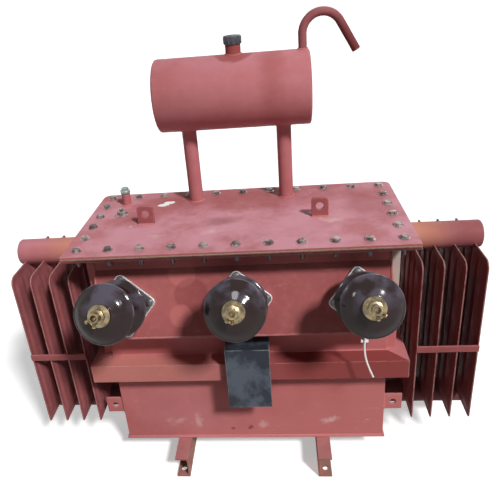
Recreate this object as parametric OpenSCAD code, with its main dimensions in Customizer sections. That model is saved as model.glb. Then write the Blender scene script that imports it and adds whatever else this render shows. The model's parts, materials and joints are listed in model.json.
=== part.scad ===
// Oil-filled distribution transformer, three phase, in red-oxide primer.
// Millimetres. +Z up, the high-voltage side faces -Y, origin on the ground under the lid centre.

/* [Tank] */
// Tank width along X, over the walls
tank_w = 790; // [700:5:1000]
// Tank depth along Y, over the walls
tank_d = 305; // [280:5:420]
// Height from the tank underside to the lid top
tank_h = 690; // [620:5:900]
// Wall plate thickness
wall_t = 5; // [3:0.5:8]
// How far the floor plate stands out past the walls
floor_lip = 5; // [0:1:12]

/* [Lid] */
// Lid overhang past the front wall
lid_front_lap = 80; // [60:1:110]
// Lid overhang past the back wall
lid_back_lap = 55; // [40:1:90]
// Lid overhang past each side wall
lid_side_lap = 55; // [40:1:90]
// Lid plate thickness
lid_t = 6; // [4:0.5:10]
// Corner radius at the back of the lid
lid_back_r = 22; // [5:1:35]
// Cork gasket thickness
gasket_t = 3; // [2:0.5:6]
// Tank rim flange thickness
flange_t = 8; // [5:0.5:12]

/* [High-voltage pocket] */
// Drop from the lid top to the top of the sloping panel
panel_top_drop = 83; // [60:1:110]
// Height of the sloping panel, measured upright
panel_h = 167; // [155:1:190]
// Lean of the panel from upright, degrees
panel_lean = 26; // [15:0.5:32]

/* [High-voltage bushings] */
// Distance from the tank end to the centre of an outer bushing
hv_edge = 80; // [80:1:120]
// Distance down the panel to the bushing centres
hv_drop = 98; // [88:1:102]
// Largest shed radius
shed_r = 75; // [64:0.5:80]
// Radius of the rounded shed rims
rim_r = 5; // [3:0.5:7]
// Distance from the panel to the rear shed rim
rear_shed_at = 64; // [58:1:75]
// Distance from the panel to the front shed rim
front_shed_at = 176; // [160:1:185]
// Porcelain body radius in the clamp ring
hv_body_r = 46; // [42:0.5:50]
// Porcelain radius between the sheds
hv_waist_r = 40; // [34:0.5:44]
// Porcelain length outside the panel
hv_len = 206; // [195:1:230]
// Radius of the spigot through the panel
hv_spigot_r = 38; // [30:0.5:41]
// How far the spigot reaches behind the panel face
hv_spigot_in = 7; // [5:0.5:12]
// Width of the square clamp ring beside the porcelain, at its flats
clamp_lap = 18; // [14:0.5:20]
// Corner radius of the clamp ring
clamp_corner_r = 14; // [10:0.5:18]
// Clamp ring thickness
clamp_t = 11; // [8:0.5:16]
// Twist of the clamp ring about the bushing axis, degrees
clamp_twist = 7; // [0:1:20]

/* [High-voltage terminals] */
// Brass cap radius
cap_r = 27; // [22:0.5:32]
// Height of the straight part of the cap
cap_h = 9; // [6:0.5:14]
// Height of the cap shoulder
cap_shoulder_h = 7; // [4:0.5:10]
// Radius of the nut on the cap
nut_r = 18; // [15:0.5:20]
// Height of the nut on the cap
nut_h = 9; // [6:0.5:12]
// Outer radius of the socket stem
stem_r = 12; // [9:0.5:14]
// Bore radius of the socket stem
stem_bore_r = 7; // [4:0.5:8]
// Length of the socket stem past the nut
stem_len = 22; // [16:1:40]
// Depth of the socket bore
stem_bore_depth = 18; // [8:1:20]
// Radius of the clamp screws on the stem
screw_r = 4.5; // [3:0.5:6]
// Length of the clamp screws past the stem
screw_len = 12; // [6:1:16]
// Turn of the two screws of the left terminal about the bushing axis, degrees
screw_turns_left = [205, 265]; // [180:1:350]
// Turn of the two screws of the centre terminal
screw_turns_centre = [232, 268]; // [180:1:350]
// Turn of the two screws of the right terminal
screw_turns_right = [325, 275]; // [180:1:350]

/* [Low-voltage bushings] */
// Distance from the tank end to an outer low-voltage bushing
lv_edge = 170; // [120:1:220]
// Drop from the lid top to the low-voltage bushing centres
lv_drop = 155; // [120:1:220]
// Low-voltage shed radius
lv_shed_r = 38; // [32:0.5:48]
// Low-voltage body radius at the wall
lv_body_r = 32; // [28:0.5:36]
// Height of the low-voltage body at the wall
lv_body_h = 16; // [12:0.5:22]
// Low-voltage neck radius
lv_neck_r = 24; // [20:0.5:27]
// Distance from the wall to the low-voltage shed rim
lv_shed_at = 40; // [36:0.5:44]
// Low-voltage porcelain length
lv_len = 62; // [54:1:80]
// Low-voltage stud radius
lv_stud_r = 8; // [6:0.5:10]
// Low-voltage stud length
lv_stud_len = 53; // [45:1:70]
// Low-voltage nut radius over the corners
lv_nut_r = 14; // [12:0.5:17]
// Low-voltage nut height
lv_nut_h = 9; // [7:0.5:12]

/* [Belt and stiffeners] */
// Drop from the pocket underside to the belt top
belt_drop = 113; // [105:1:150]
// Belt height
belt_h = 57; // [40:1:70]
// How far the belt stands off the walls
belt_proud = 52; // [40:1:58]
// Belt plate thickness
belt_t = 5; // [3:0.5:8]
// Width of the upright flats at the tank corners
flat_w = 26; // [18:1:32]
// Thickness of the upright flats
flat_t = 6; // [4:0.5:10]
// Set-back of the upright flats from the tank corners
flat_in = 12; // [8:1:30]

/* [Radiators] */
// Fins on each side
fin_n = 4; // [2:1:5]
// Distance from the tank wall to the middle of the first fin
fin_gap = 81; // [74:1:100]
// Fin spacing
fin_pitch = 54.5; // [40:0.5:60]
// Fin width along Y
fin_w = 290; // [220:1:300]
// Distance from the tank front wall to the header axis
header_back = 140; // [120:1:150]
// Height of the fin bottoms over the tank underside
fin_up = 73; // [60:1:100]
// Drop from the lid top to the fin tops
fin_drop = 99; // [90:1:130]
// Largest fin thickness
fin_t = 12; // [9:0.5:16]
// Fin thickness between the flutes
fin_valley_t = 6; // [5:0.5:8]
// Thickness of the fin seam
seam_t = 3; // [2:0.5:4]
// Width of the flat fin seam
seam_w = 12; // [8:0.5:18]
// Number of flutes pressed in a fin
flutes = 5; // [3:1:7]
// Length over which a fin is pinched to its seam at top and bottom
fin_pinch = 44; // [30:1:60]
// Radius of the upper front fin corners
fin_corner_r = 24; // [12:1:40]
// Radius of the other fin corners
fin_small_r = 8; // [5:0.5:12]
// Header pipe radius
header_r = 38; // [30:0.5:42]
// Header pipe wall
header_wall = 4; // [3:0.5:6]
// Distance from a header axis to the fin end it carries
header_offset = 14; // [5:1:20]
// How far a header runs past the last fin
header_tail = 22; // [10:1:40]
// Brace bar height
brace_h = 20; // [14:1:30]
// Brace bar thickness
brace_t = 5; // [3:0.5:8]
// Height of the brace bar middle over the tank underside
brace_up = 325; // [200:1:420]
// How far a brace bar runs past the outer fins
brace_tail = 2; // [1.5:0.5:12]

/* [Conservator] */
// Conservator radius
cons_r = 101; // [80:0.5:120]
// Conservator length over the ends
cons_len = 434; // [360:1:520]
// Conservator middle along X
cons_x = -3; // [-20:1:20]
// Height of the conservator axis over the lid top
cons_up = 319; // [260:1:380]
// Distance from the tank back wall to the conservator axis
cons_in = 24; // [24:1:60]
// Conservator plate thickness
cons_wall = 3; // [2:0.5:5]
// Dish of the conservator ends
cons_dish = 8; // [5:0.5:16]
// Distance from each conservator end to its leg
leg_in = 80; // [60:1:120]
// Leg pipe outer radius
leg_r = 21; // [16:0.5:23]
// Leg pipe wall
leg_wall = 3; // [2:0.5:5]
// Filler neck outer radius
neck_r = 21; // [16:0.5:23]
// Filler neck height over the conservator top
neck_h = 26; // [16:1:40]
// Filler neck wall
neck_wall = 3; // [2:0.5:5]
// Filler neck middle along X
filler_x = 5; // [-40:1:40]
// Filler cap radius
filler_cap_r = 25; // [24:0.5:32]
// Filler cap height
filler_cap_h = 22; // [16:1:32]
// Depth of the ribs round the filler cap
cap_rib = 1.5; // [1:0.25:3]
// Ribs round the filler cap
cap_ribs = 12; // [8:1:20]

/* [Breather pipe] */
// Distance from the conservator right end to the breather riser
breather_in = 21; // [20:1:45]
// Breather pipe outer radius
breather_r = 11.5; // [8:0.5:13]
// Breather pipe wall
breather_wall = 2.5; // [1.5:0.5:4]
// Riser height over the conservator top
riser_h = 37; // [30:1:70]
// Bend radius of the breather
bend_r = 53; // [40:1:70]
// Sweep of the bend, degrees
bend_sweep = 150; // [120:1:180]
// Length of the straight tail
tail_len = 87; // [60:1:110]

/* [Base rails] */
// Height of a rail
rail_h = 75; // [60:1:100]
// Flange width of a rail
rail_flange = 40; // [36:1:50]
// Web thickness
rail_web_t = 5; // [4:0.5:8]
// Flange thickness
rail_flange_t = 7; // [5:0.5:9]
// Radius inside the corners of a rail
rail_root_r = 6; // [3:0.5:10]
// Distance from a tank side wall to the inner face of a web
rail_in = 200; // [150:1:240]
// How far a rail runs past the tank walls
rail_over = 88; // [70:1:110]
// Distance from the rail front end to the front base bolt holes
base_hole_in = 28; // [24:1:40]
// Radius of a base bolt hole
base_hole_r = 9; // [6:0.5:11]

/* [Lifting lugs] */
// Lifting lug width
lug_w = 46; // [38:1:60]
// Lifting lug height
lug_h = 54; // [48:1:70]
// Lifting lug thickness
lug_t = 10; // [6:0.5:14]
// Corner radius of a lifting lug
lug_corner_r = 10; // [4:0.5:15]
// Lifting hole radius
lug_hole_r = 11; // [8:0.5:13]
// Height of the lifting hole over the lid
lug_hole_up = 30; // [24:1:34]
// Distance from the lid left edge to the left lifting lug
lug_left_in = 188; // [140:1:240]
// Distance from the lid right edge to the right lifting lug
lug_right_in = 228; // [140:1:240]
// Distance from the lid front edge to the lifting lugs
lug_back = 195; // [150:1:260]

/* [Earth lugs and plate bracket] */
// Earth lug width
earth_w = 52; // [40:1:60]
// Earth lug height
earth_h = 55; // [40:1:70]
// Earth lug thickness
earth_t = 6; // [4:0.5:10]
// Height of the earth lug underside over the tank underside
earth_up = 101; // [70:1:150]
// Set-back of the earth lugs from the front wall
earth_in = 6; // [2:1:20]
// Radius of the earth lug hole
earth_hole_r = 9; // [5:0.5:12]
// Plate bracket width
bracket_w = 122; // [90:1:150]
// Plate bracket height
bracket_h = 198; // [150:1:230]
// Gap between the pocket and the plate bracket
bracket_drop = 46; // [30:1:60]
// Plate bracket thickness
bracket_t = 4; // [2:0.5:6]
// Plate bracket middle along X
bracket_x = 8; // [-30:1:30]

/* [Lid fittings] */
// Distance from the lid left edge to the thermometer pocket
thermo_in = 94; // [80:1:130]
// Distance from the lid back edge to the thermometer pocket
thermo_front = 90; // [80:1:130]
// Thermometer pocket radius
thermo_r = 13; // [9:0.5:18]
// Thermometer pocket height
thermo_h = 36; // [24:1:50]
// Height of the thermometer cap skirt
thermo_skirt_h = 12; // [8:0.5:18]
// Width of the thermometer cap skirt round the pocket
thermo_skirt = 2; // [1:0.5:4]
// Height of the hexagon on the thermometer cap
thermo_hex_h = 8; // [5:0.5:12]
// Distance from the lid left edge to the vent plug
vent_in = 98; // [80:1:130]
// Distance from the lid back edge to the vent plug
vent_front = 173; // [150:1:200]
// Vent plug washer radius
vent_washer_r = 20; // [16:0.5:24]
// Vent plug washer thickness
vent_washer_t = 3; // [2:0.5:5]
// Vent plug hexagon radius over the corners
vent_hex_r = 14; // [11:0.5:15]
// Vent plug hexagon height
vent_hex_h = 10; // [7:0.5:14]
// Vent plug nipple radius
vent_nipple_r = 7; // [4:0.5:9]
// Vent plug nipple height
vent_nipple_h = 8; // [5:0.5:12]

/* [Tie strap] */
// Width of the white tie strap
tie_d = 5; // [3:0.5:6]
// Width of the tie head
tie_head_w = 20; // [12:1:26]
// Height of the tie head
tie_head_h = 8; // [6:0.5:12]
// Thickness of the tie head
tie_head_t = 5; // [3:0.5:8]

/* [Hidden] */
$fn = 64;
fit = 0.3;
half_w = tank_w / 2;
lid_w = tank_w + 2 * lid_side_lap;
lid_d = tank_d + lid_front_lap + lid_back_lap;
front_y = -lid_d / 2 + lid_front_lap;
back_y = front_y + tank_d;
floor_z = rail_h;
wall_z = floor_z + wall_t;
lid_top_z = floor_z + tank_h;
gasket_z = lid_top_z - lid_t - gasket_t;
flange_z = gasket_z - flange_t;
panel_top_z = lid_top_z - panel_top_drop;
panel_low_z = panel_top_z - panel_h;
panel_low_y = front_y - panel_h * tan(panel_lean);
panel_run = wall_t / cos(panel_lean);
pocket_base_z = panel_low_z - wall_t;
hv_pitch = half_w - hv_edge;
hv_y = front_y - hv_drop * sin(panel_lean);
hv_z = panel_top_z - hv_drop * cos(panel_lean);
clamp_half = hv_body_r + clamp_lap;
ear_r = (clamp_half - clamp_corner_r) * sqrt(2);
lv_pitch = (tank_w - 2 * lv_edge) / 3;
lv_z = lid_top_z - lv_drop;
belt_top = pocket_base_z - belt_drop;
belt_z = belt_top - belt_h;
fin_z0 = floor_z + fin_up;
fin_z1 = lid_top_z - fin_drop;
fin_first_x = half_w + fin_gap;
fin_last_x = fin_first_x + (fin_n - 1) * fin_pitch;
header_y = front_y + header_back;
header_top_z = fin_z1 + header_offset;
header_low_z = fin_z0 - header_offset;
header_end_x = fin_last_x + header_tail;
brace_z = floor_z + brace_up;
cons_y = back_y - cons_in;
cons_z = lid_top_z + cons_up;
cons_top = cons_z + cons_r;
leg_xs = [cons_x - cons_len / 2 + leg_in, cons_x + cons_len / 2 - leg_in];
breather_x = cons_x + cons_len / 2 - breather_in;
bend_z = cons_top + riser_h;
rail_x = half_w - rail_in;
rail_y0 = front_y - rail_over;
rail_y1 = back_y + rail_over;
rail_hole_x = rail_x + rail_web_t + (rail_flange - rail_web_t) / 2;
base_hole_y = -rail_y0 - base_hole_in;
lug_xs = [-lid_w / 2 + lug_left_in, lid_w / 2 - lug_right_in];
lug_y = -lid_d / 2 + lug_back;
earth_z = floor_z + earth_up;
bracket_top_z = pocket_base_z - bracket_drop;
bracket_y = -lid_d / 2;
thermo_at = [-lid_w / 2 + thermo_in, lid_d / 2 - thermo_front, lid_top_z];
vent_at = [-lid_w / 2 + vent_in, lid_d / 2 - vent_front, lid_top_z];
// Route of the tie strap, from the lower ear of the right clamp ring down past the belt.
tie_route = [
    [323, -221.6, 540.1],
    [323, -227.2, 542.4],
    [322.9, -231.5, 542],
    [322.6, -235, 539.5],
    [322.2, -237, 535.5],
    [321.6, -238, 530],
    [320.6, -238.4, 522],
    [319.4, -238.5, 513],
    [318.2, -238.5, 503],
    [317.3, -238.5, 493],
    [317, -238.5, 483],
    [317.4, -238.5, 473],
    [318.4, -238.5, 462],
    [320.2, -238.5, 450],
    [323, -238.5, 437],
    [327, -238.5, 423],
    [331.8, -238.5, 409],
    [337, -238.5, 395],
    [342, -238.5, 382]
];
tie_head_at = [317.6, -238.5, 496];

primer = [0.52, 0.24, 0.19];
steel = [0.66, 0.66, 0.66];
dark = [0.13, 0.14, 0.16];
porcelain = [0.10, 0.06, 0.05];
brass = [0.78, 0.60, 0.27];
cork = [0.66, 0.54, 0.40];
white = [0.92, 0.91, 0.88];

// A box from two opposite corners.
module span(a, b) {
    translate(a) cube(b - a);
}

// The children and their mirror image across the YZ plane.
module both_sides() {
    children();
    mirror([1, 0, 0]) children();
}

// A profile drawn in Y and Z, run along X from x0 to x1.
module along_x(x0, x1) {
    translate([x0, 0, 0]) rotate([90, 0, 90]) linear_extrude(x1 - x0) children();
}

// A rectangle about the origin with all four corners rounded.
module rounded(w, h, r) {
    union() {
        square([w, h - 2 * r], center = true);
        square([w - 2 * r, h], center = true);
        for (x = [-1, 1], y = [-1, 1])
            translate([x * (w / 2 - r), y * (h / 2 - r)]) circle(r = r);
    }
}

// Puts a child's +Z along the outward normal of the sloping panel.
module on_panel(x) {
    translate([x, hv_y, hv_z]) rotate([90 - panel_lean, 0, 0]) children();
}

// The outside of the conservator, for cutting what stands on it.
module conservator_space() {
    translate([cons_x - cons_len / 2, cons_y, cons_z])
        rotate([0, 90, 0])
            cylinder(r = cons_r, h = cons_len);
}

// Section of a channel rail, web on the left, open to the right and rounded inside its corners.
module rail_section() {
    gap_h = rail_h - 2 * rail_flange_t;
    difference() {
        square([rail_flange, rail_h]);
        translate([rail_web_t, rail_flange_t]) union() {
            translate([rail_root_r, 0]) square([rail_flange, gap_h]);
            translate([gap_h / 2, gap_h / 2]) rounded(gap_h, gap_h, rail_root_r);
        }
    }
}

// One channel rail, web towards the centre, open towards +X and at both ends.
module rail() {
    difference() {
        translate([rail_x, rail_y1, 0])
            rotate([90, 0, 0])
                linear_extrude(rail_y1 - rail_y0)
                    rail_section();
        for (s = [-1, 1])
            translate([rail_hole_x, s * base_hole_y, -1])
                cylinder(r = base_hole_r, h = rail_flange_t + 2);
    }
}

module rail_left() {
    color(primer) mirror([1, 0, 0]) rail();
}

module rail_right() {
    color(primer) rail();
}

module tank_floor() {
    low = [-half_w - floor_lip, front_y - floor_lip, floor_z];
    high = [half_w + floor_lip, back_y + floor_lip, wall_z];
    color(primer) span(low, high);
}

module front_wall() {
    color(primer) span([-half_w, front_y, wall_z], [half_w, front_y + wall_t, pocket_base_z]);
}

module back_wall() {
    color(primer) span([-half_w, back_y - wall_t, wall_z], [half_w, back_y, gasket_z]);
}

// A side wall with the cheek that closes the end of the pocket.
module side_wall() {
    along_x(half_w - wall_t, half_w)
        polygon([
            [front_y + wall_t, wall_z],
            [back_y - wall_t, wall_z],
            [back_y - wall_t, gasket_z],
            [front_y + wall_t, gasket_z],
            [front_y + wall_t, panel_top_z],
            [front_y + panel_run, panel_top_z],
            [panel_low_y + panel_run, panel_low_z],
            [front_y + wall_t, panel_low_z]
        ]);
}

module left_wall() {
    color(primer) mirror([1, 0, 0]) side_wall();
}

module right_wall() {
    color(primer) side_wall();
}

module pocket_base() {
    color(primer) span([-half_w, panel_low_y, pocket_base_z], [half_w, front_y + wall_t, panel_low_z]);
}

module hv_panel() {
    color(primer) difference() {
        along_x(-half_w, half_w)
            polygon([
                [front_y, panel_top_z],
                [front_y + panel_run, panel_top_z],
                [panel_low_y + panel_run, panel_low_z],
                [panel_low_y, panel_low_z]
            ]);
        for (i = [-1, 0, 1])
            on_panel(i * hv_pitch)
                translate([0, 0, -2 * wall_t])
                    cylinder(r = hv_spigot_r + fit, h = 3 * wall_t);
    }
}

module front_collar() {
    color(primer) span([-half_w, front_y, panel_top_z], [half_w, front_y + wall_t, gasket_z]);
}

module flange_front() {
    color(primer) span([-lid_w / 2, -lid_d / 2, flange_z], [lid_w / 2, front_y, gasket_z]);
}

module flange_back() {
    color(primer) intersection() {
        span([-lid_w / 2, back_y, flange_z], [lid_w / 2, lid_d / 2, gasket_z]);
        translate([0, 0, flange_z - 1]) linear_extrude(flange_t + 2) lid_outline();
    }
}

module flange_side() {
    span([half_w, front_y, flange_z], [lid_w / 2, back_y, gasket_z]);
}

module flange_left() {
    color(primer) mirror([1, 0, 0]) flange_side();
}

module flange_right() {
    color(primer) flange_side();
}

// Lid outline, square at the front and rounded at the back corners.
module lid_outline() {
    union() {
        translate([-lid_w / 2, -lid_d / 2]) square([lid_w, lid_d - lid_back_r]);
        rounded(lid_w, lid_d, lid_back_r);
    }
}

module lid_gasket() {
    color(cork) translate([0, 0, gasket_z]) linear_extrude(gasket_t) difference() {
        lid_outline();
        translate([-half_w + wall_t, front_y + wall_t]) square([tank_w - 2 * wall_t, tank_d - 2 * wall_t]);
    }
}

module lid() {
    color(primer) translate([0, 0, lid_top_z - lid_t]) linear_extrude(lid_t) lid_outline();
}

// One run of the belt channel, open to the wall, with mitred ends.
module belt_run(run) {
    intersection() {
        difference() {
            span([-run / 2, 0, belt_z], [run / 2, belt_proud, belt_top]);
            span([-run / 2, -1, belt_z + belt_t], [run / 2, belt_proud - belt_t, belt_top - belt_t]);
        }
        translate([0, 0, belt_z - 1])
            linear_extrude(belt_h + 2)
                polygon([
                    [-run / 2, belt_proud],
                    [run / 2, belt_proud],
                    [run / 2 - belt_proud, 0],
                    [-run / 2 + belt_proud, 0]
                ]);
    }
}

module belt_front() {
    color(primer) translate([0, front_y, 0]) mirror([0, 1, 0]) belt_run(tank_w + 2 * belt_proud);
}

module belt_back() {
    color(primer) translate([0, back_y, 0]) belt_run(tank_w + 2 * belt_proud);
}

module belt_side() {
    translate([half_w, (front_y + back_y) / 2, 0]) rotate([0, 0, -90]) belt_run(tank_d + 2 * belt_proud);
}

module belt_left() {
    color(primer) mirror([1, 0, 0]) belt_side();
}

module belt_right() {
    color(primer) belt_side();
}

module corner_flats() {
    flat_ys = [front_y + flat_in, back_y - flat_in - flat_t];
    color(primer)
        both_sides()
            for (y = flat_ys)
                span([half_w, y, belt_top], [half_w + flat_w, y + flat_t, flange_z]);
}

module earth_lugs() {
    lug_front = front_y + earth_in;
    low = [half_w, lug_front, earth_z];
    color(primer)
        both_sides()
            difference() {
                span(low, low + [earth_w, earth_t, earth_h]);
                translate([half_w + earth_w / 2, lug_front - 1, earth_z + earth_h / 2])
                    rotate([-90, 0, 0])
                        cylinder(r = earth_hole_r, h = earth_t + 2);
            }
}

// Bent plate that hangs in front of the belt from a shelf on the wall.
module plate_bracket() {
    x0 = bracket_x - bracket_w / 2;
    x1 = bracket_x + bracket_w / 2;
    color(dark) union() {
        span([x0, bracket_y, bracket_top_z - bracket_h], [x1, bracket_y + bracket_t, bracket_top_z]);
        span([x0, bracket_y, bracket_top_z - bracket_t], [x1, front_y, bracket_top_z]);
    }
}

// Square cast ring, set on its corner, that holds a bushing to the panel.
module clamp_ring() {
    rotate([0, 0, 45 + clamp_twist])
        linear_extrude(clamp_t)
            difference() {
                rounded(2 * clamp_half, 2 * clamp_half, clamp_corner_r);
                circle(r = hv_body_r + fit);
            }
}

module hv_clamps() {
    color(steel) for (i = [-1, 0, 1]) on_panel(i * hv_pitch) clamp_ring();
}

// Half section of a high-voltage porcelain with two broad sheds.
module hv_section() {
    lip = shed_r - rim_r;
    flare = (lip - hv_body_r) / 2;
    union() {
        polygon([
            [0, -hv_spigot_in],
            [hv_spigot_r, -hv_spigot_in],
            [hv_spigot_r, 0],
            [hv_body_r, 0],
            [hv_body_r, rear_shed_at - 2 * flare],
            [hv_body_r + flare, rear_shed_at - rim_r - flare / 3],
            [lip, rear_shed_at - rim_r],
            [lip, rear_shed_at + rim_r],
            [hv_waist_r + flare, rear_shed_at + 2 * rim_r + flare / 2],
            [hv_waist_r, rear_shed_at + 4 * flare],
            [hv_waist_r, front_shed_at - 3 * flare],
            [hv_waist_r + flare, front_shed_at - rim_r - flare / 2],
            [lip, front_shed_at - rim_r],
            [lip, front_shed_at + rim_r],
            [(lip + cap_r) / 2 + rim_r, (front_shed_at + hv_len) / 2 + rim_r],
            [cap_r + rim_r, hv_len - rim_r / 2],
            [cap_r, hv_len],
            [0, hv_len]
        ]);
        translate([lip, rear_shed_at]) circle(r = rim_r);
        translate([lip, front_shed_at]) circle(r = rim_r);
    }
}

module hv_porcelain() {
    rotate_extrude() hv_section();
}

module hv_bushing_left() {
    color(porcelain) on_panel(-hv_pitch) hv_porcelain();
}

module hv_bushing_centre() {
    color(porcelain) on_panel(0) hv_porcelain();
}

module hv_bushing_right() {
    color(porcelain) on_panel(hv_pitch) hv_porcelain();
}

// Brass cap with a nut and a split socket stem that two screws close.
module hv_terminal(turns) {
    nut_z = cap_h + cap_shoulder_h;
    stem_z = nut_z + nut_h;
    screw_z = stem_z + stem_len / 2;
    translate([0, 0, hv_len]) difference() {
        union() {
            cylinder(r = cap_r, h = cap_h);
            translate([0, 0, cap_h]) cylinder(r1 = cap_r, r2 = nut_r, h = cap_shoulder_h);
            translate([0, 0, nut_z]) cylinder(r = nut_r, h = nut_h, $fn = 8);
            translate([0, 0, stem_z]) cylinder(r = stem_r, h = stem_len);
            for (turn = turns)
                translate([0, 0, screw_z])
                    rotate([0, 90, turn])
                        translate([0, 0, stem_bore_r + fit])
                            cylinder(r = screw_r, h = stem_r - stem_bore_r + screw_len);
        }
        translate([0, 0, stem_z + stem_len - stem_bore_depth])
            cylinder(r = stem_bore_r, h = stem_bore_depth + 1);
    }
}

module hv_terminals() {
    turns = [screw_turns_left, screw_turns_centre, screw_turns_right];
    color(brass) for (i = [-1, 0, 1]) on_panel(i * hv_pitch) hv_terminal(turns[i + 1]);
}

// Puts a child's +Z out of the back wall at a low-voltage bushing.
module on_back(i) {
    translate([(i - 1.5) * lv_pitch, back_y, lv_z]) rotate([-90, 0, 0]) children();
}

// Half section of a low-voltage porcelain with one shed.
module lv_section() {
    lip = lv_shed_r - rim_r;
    flare = lip - lv_neck_r;
    union() {
        polygon([
            [0, 0],
            [lv_body_r, 0],
            [lv_body_r, lv_body_h],
            [lv_neck_r, lv_body_h + rim_r],
            [lv_neck_r, lv_shed_at - rim_r - flare / 2],
            [lip, lv_shed_at - rim_r],
            [lip, lv_shed_at + rim_r],
            [lv_stud_r + rim_r + lv_nut_h / 2, lv_len - 1],
            [lv_stud_r + rim_r, lv_len],
            [0, lv_len]
        ]);
        translate([lip, lv_shed_at]) circle(r = rim_r);
    }
}

module lv_bushings() {
    color(porcelain) for (i = [0 : 3]) on_back(i) rotate_extrude() lv_section();
}

// Brass stud with two nuts.
module lv_terminal() {
    translate([0, 0, lv_len]) union() {
        cylinder(r = lv_stud_r, h = lv_stud_len);
        cylinder(r = lv_nut_r, h = lv_nut_h, $fn = 6);
        translate([0, 0, 2 * lv_nut_h]) cylinder(r = lv_nut_r, h = lv_nut_h, $fn = 6);
    }
}

module lv_terminals() {
    color(brass) for (i = [0 : 3]) on_back(i) lv_terminal();
}

// A header pipe from the side wall out past the last fin, closed at its outer end.
module header(z) {
    run = header_end_x - half_w;
    translate([half_w, header_y, z]) rotate([0, 90, 0]) difference() {
        cylinder(r = header_r, h = run);
        translate([0, 0, -1]) cylinder(r = header_r - header_wall, h = run - header_wall + 1);
    }
}

module left_upper_header() {
    color(primer) mirror([1, 0, 0]) header(header_top_z);
}

module left_lower_header() {
    color(primer) mirror([1, 0, 0]) header(header_low_z);
}

module right_upper_header() {
    color(primer) header(header_top_z);
}

module right_lower_header() {
    color(primer) header(header_low_z);
}

// One half of a fluted fin section, from one seam edge to the other.
function flute_line() = let (
    fluted = fin_w - 2 * seam_w,
    step = fluted / flutes,
    wave = [[0.02, fin_valley_t], [0.26, fin_t], [0.74, fin_t], [0.98, fin_valley_t]]
) concat(
    [[-fin_w / 2, seam_t / 2], [-fluted / 2 - 2, seam_t / 2]],
    [for (i = [0 : flutes - 1], q = wave) [-fluted / 2 + (i + q[0]) * step, q[1] / 2]],
    [[fluted / 2 + 2, seam_t / 2], [fin_w / 2, seam_t / 2]]
);

// One side of a fin seen along Y: seam, pinch, full thickness, pinch, seam.
function pinch_line() = [
    [seam_t / 2, fin_z0],
    [seam_t / 2, fin_z0 + seam_w],
    [fin_t / 2, fin_z0 + fin_pinch],
    [fin_t / 2, fin_z1 - fin_pinch],
    [seam_t / 2, fin_z1 - seam_w],
    [seam_t / 2, fin_z1]
];

// The points of a line followed by its mirror image, as one closed outline.
function with_mirror(line, flip) = concat(
    line,
    [for (i = [len(line) - 1 : -1 : 0]) [line[i][0] * flip[0], line[i][1] * flip[1]]]
);

// Fin seen along X: well rounded at the upper front corner, less at the three others.
module fin_outline(fin_h) {
    union() {
        rounded(fin_w, fin_h, fin_corner_r);
        translate([fin_w / 4, 0]) rounded(fin_w / 2, fin_h, fin_small_r);
        translate([0, -fin_h / 4]) rounded(fin_w, fin_h / 2, fin_small_r);
    }
}

// Pressed fin: a fluted section, cut to a rounded outline and pinched to its seam at both ends.
module fin(x) {
    fin_h = fin_z1 - fin_z0;
    translate([x, header_y, 0]) difference() {
        intersection() {
            translate([0, 0, fin_z0])
                rotate([0, 0, 90])
                    linear_extrude(fin_h)
                        polygon(with_mirror(flute_line(), [1, -1]));
            along_x(-fin_t, fin_t)
                translate([0, fin_z0 + fin_h / 2])
                    fin_outline(fin_h);
            translate([0, fin_w / 2, 0])
                rotate([90, 0, 0])
                    linear_extrude(fin_w)
                        polygon(with_mirror(pinch_line(), [-1, 1]));
        }
        for (z = [header_low_z, header_top_z])
            translate([-fin_t, 0, z]) rotate([0, 90, 0]) cylinder(r = header_r, h = 2 * fin_t);
    }
}

module fin_bank() {
    for (i = [0 : fin_n - 1]) fin(fin_first_x + i * fin_pitch);
}

module left_fins() {
    color(primer) mirror([1, 0, 0]) fin_bank();
}

module right_fins() {
    color(primer) fin_bank();
}

// Flat bars that tie the fin edges together, front and back.
module brace_pair() {
    brace_ys = [header_y - fin_w / 2 - brace_t, header_y + fin_w / 2];
    for (y = brace_ys)
        translate([fin_first_x - brace_tail, y, brace_z - brace_h / 2])
            cube([fin_last_x - fin_first_x + 2 * brace_tail, brace_t, brace_h]);
}

module left_braces() {
    color(primer) mirror([1, 0, 0]) brace_pair();
}

module right_braces() {
    color(primer) brace_pair();
}

module conservator_legs() {
    color(primer) difference() {
        for (x = leg_xs)
            translate([x, cons_y, lid_top_z]) difference() {
                cylinder(r = leg_r, h = cons_up);
                translate([0, 0, -1]) cylinder(r = leg_r - leg_wall, h = cons_up + 2);
            }
        conservator_space();
    }
}

module conservator_shell() {
    shell_len = cons_len - 2 * cons_dish;
    color(primer) translate([cons_x - shell_len / 2, cons_y, cons_z]) rotate([0, 90, 0]) difference() {
        cylinder(r = cons_r, h = shell_len);
        translate([0, 0, -1]) cylinder(r = cons_r - cons_wall, h = shell_len + 2);
    }
}

// Dished ends on the conservator shell.
module conservator_ends() {
    shell_half = cons_len / 2 - cons_dish;
    crown_r = cons_r * 0.72;
    color(primer)
        translate([cons_x, cons_y, cons_z])
            both_sides()
                translate([shell_half, 0, 0])
                    rotate([0, 90, 0])
                        rotate_extrude()
                            polygon([
                                [0, cons_dish - cons_wall],
                                [crown_r, (cons_dish - cons_wall) * 0.7],
                                [cons_r - cons_dish, 0],
                                [cons_r, 0],
                                [cons_r - cons_wall / 3, cons_dish * 0.35],
                                [cons_r - cons_dish * 0.75, cons_dish * 0.7],
                                [crown_r, cons_dish * 0.9],
                                [0, cons_dish]
                            ]);
}

module filler_neck() {
    color(primer) difference() {
        translate([filler_x, cons_y, cons_z]) cylinder(r = neck_r, h = cons_r + neck_h);
        translate([filler_x, cons_y, cons_z - 1]) cylinder(r = neck_r - neck_wall, h = cons_r + neck_h + 2);
        conservator_space();
    }
}

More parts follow.
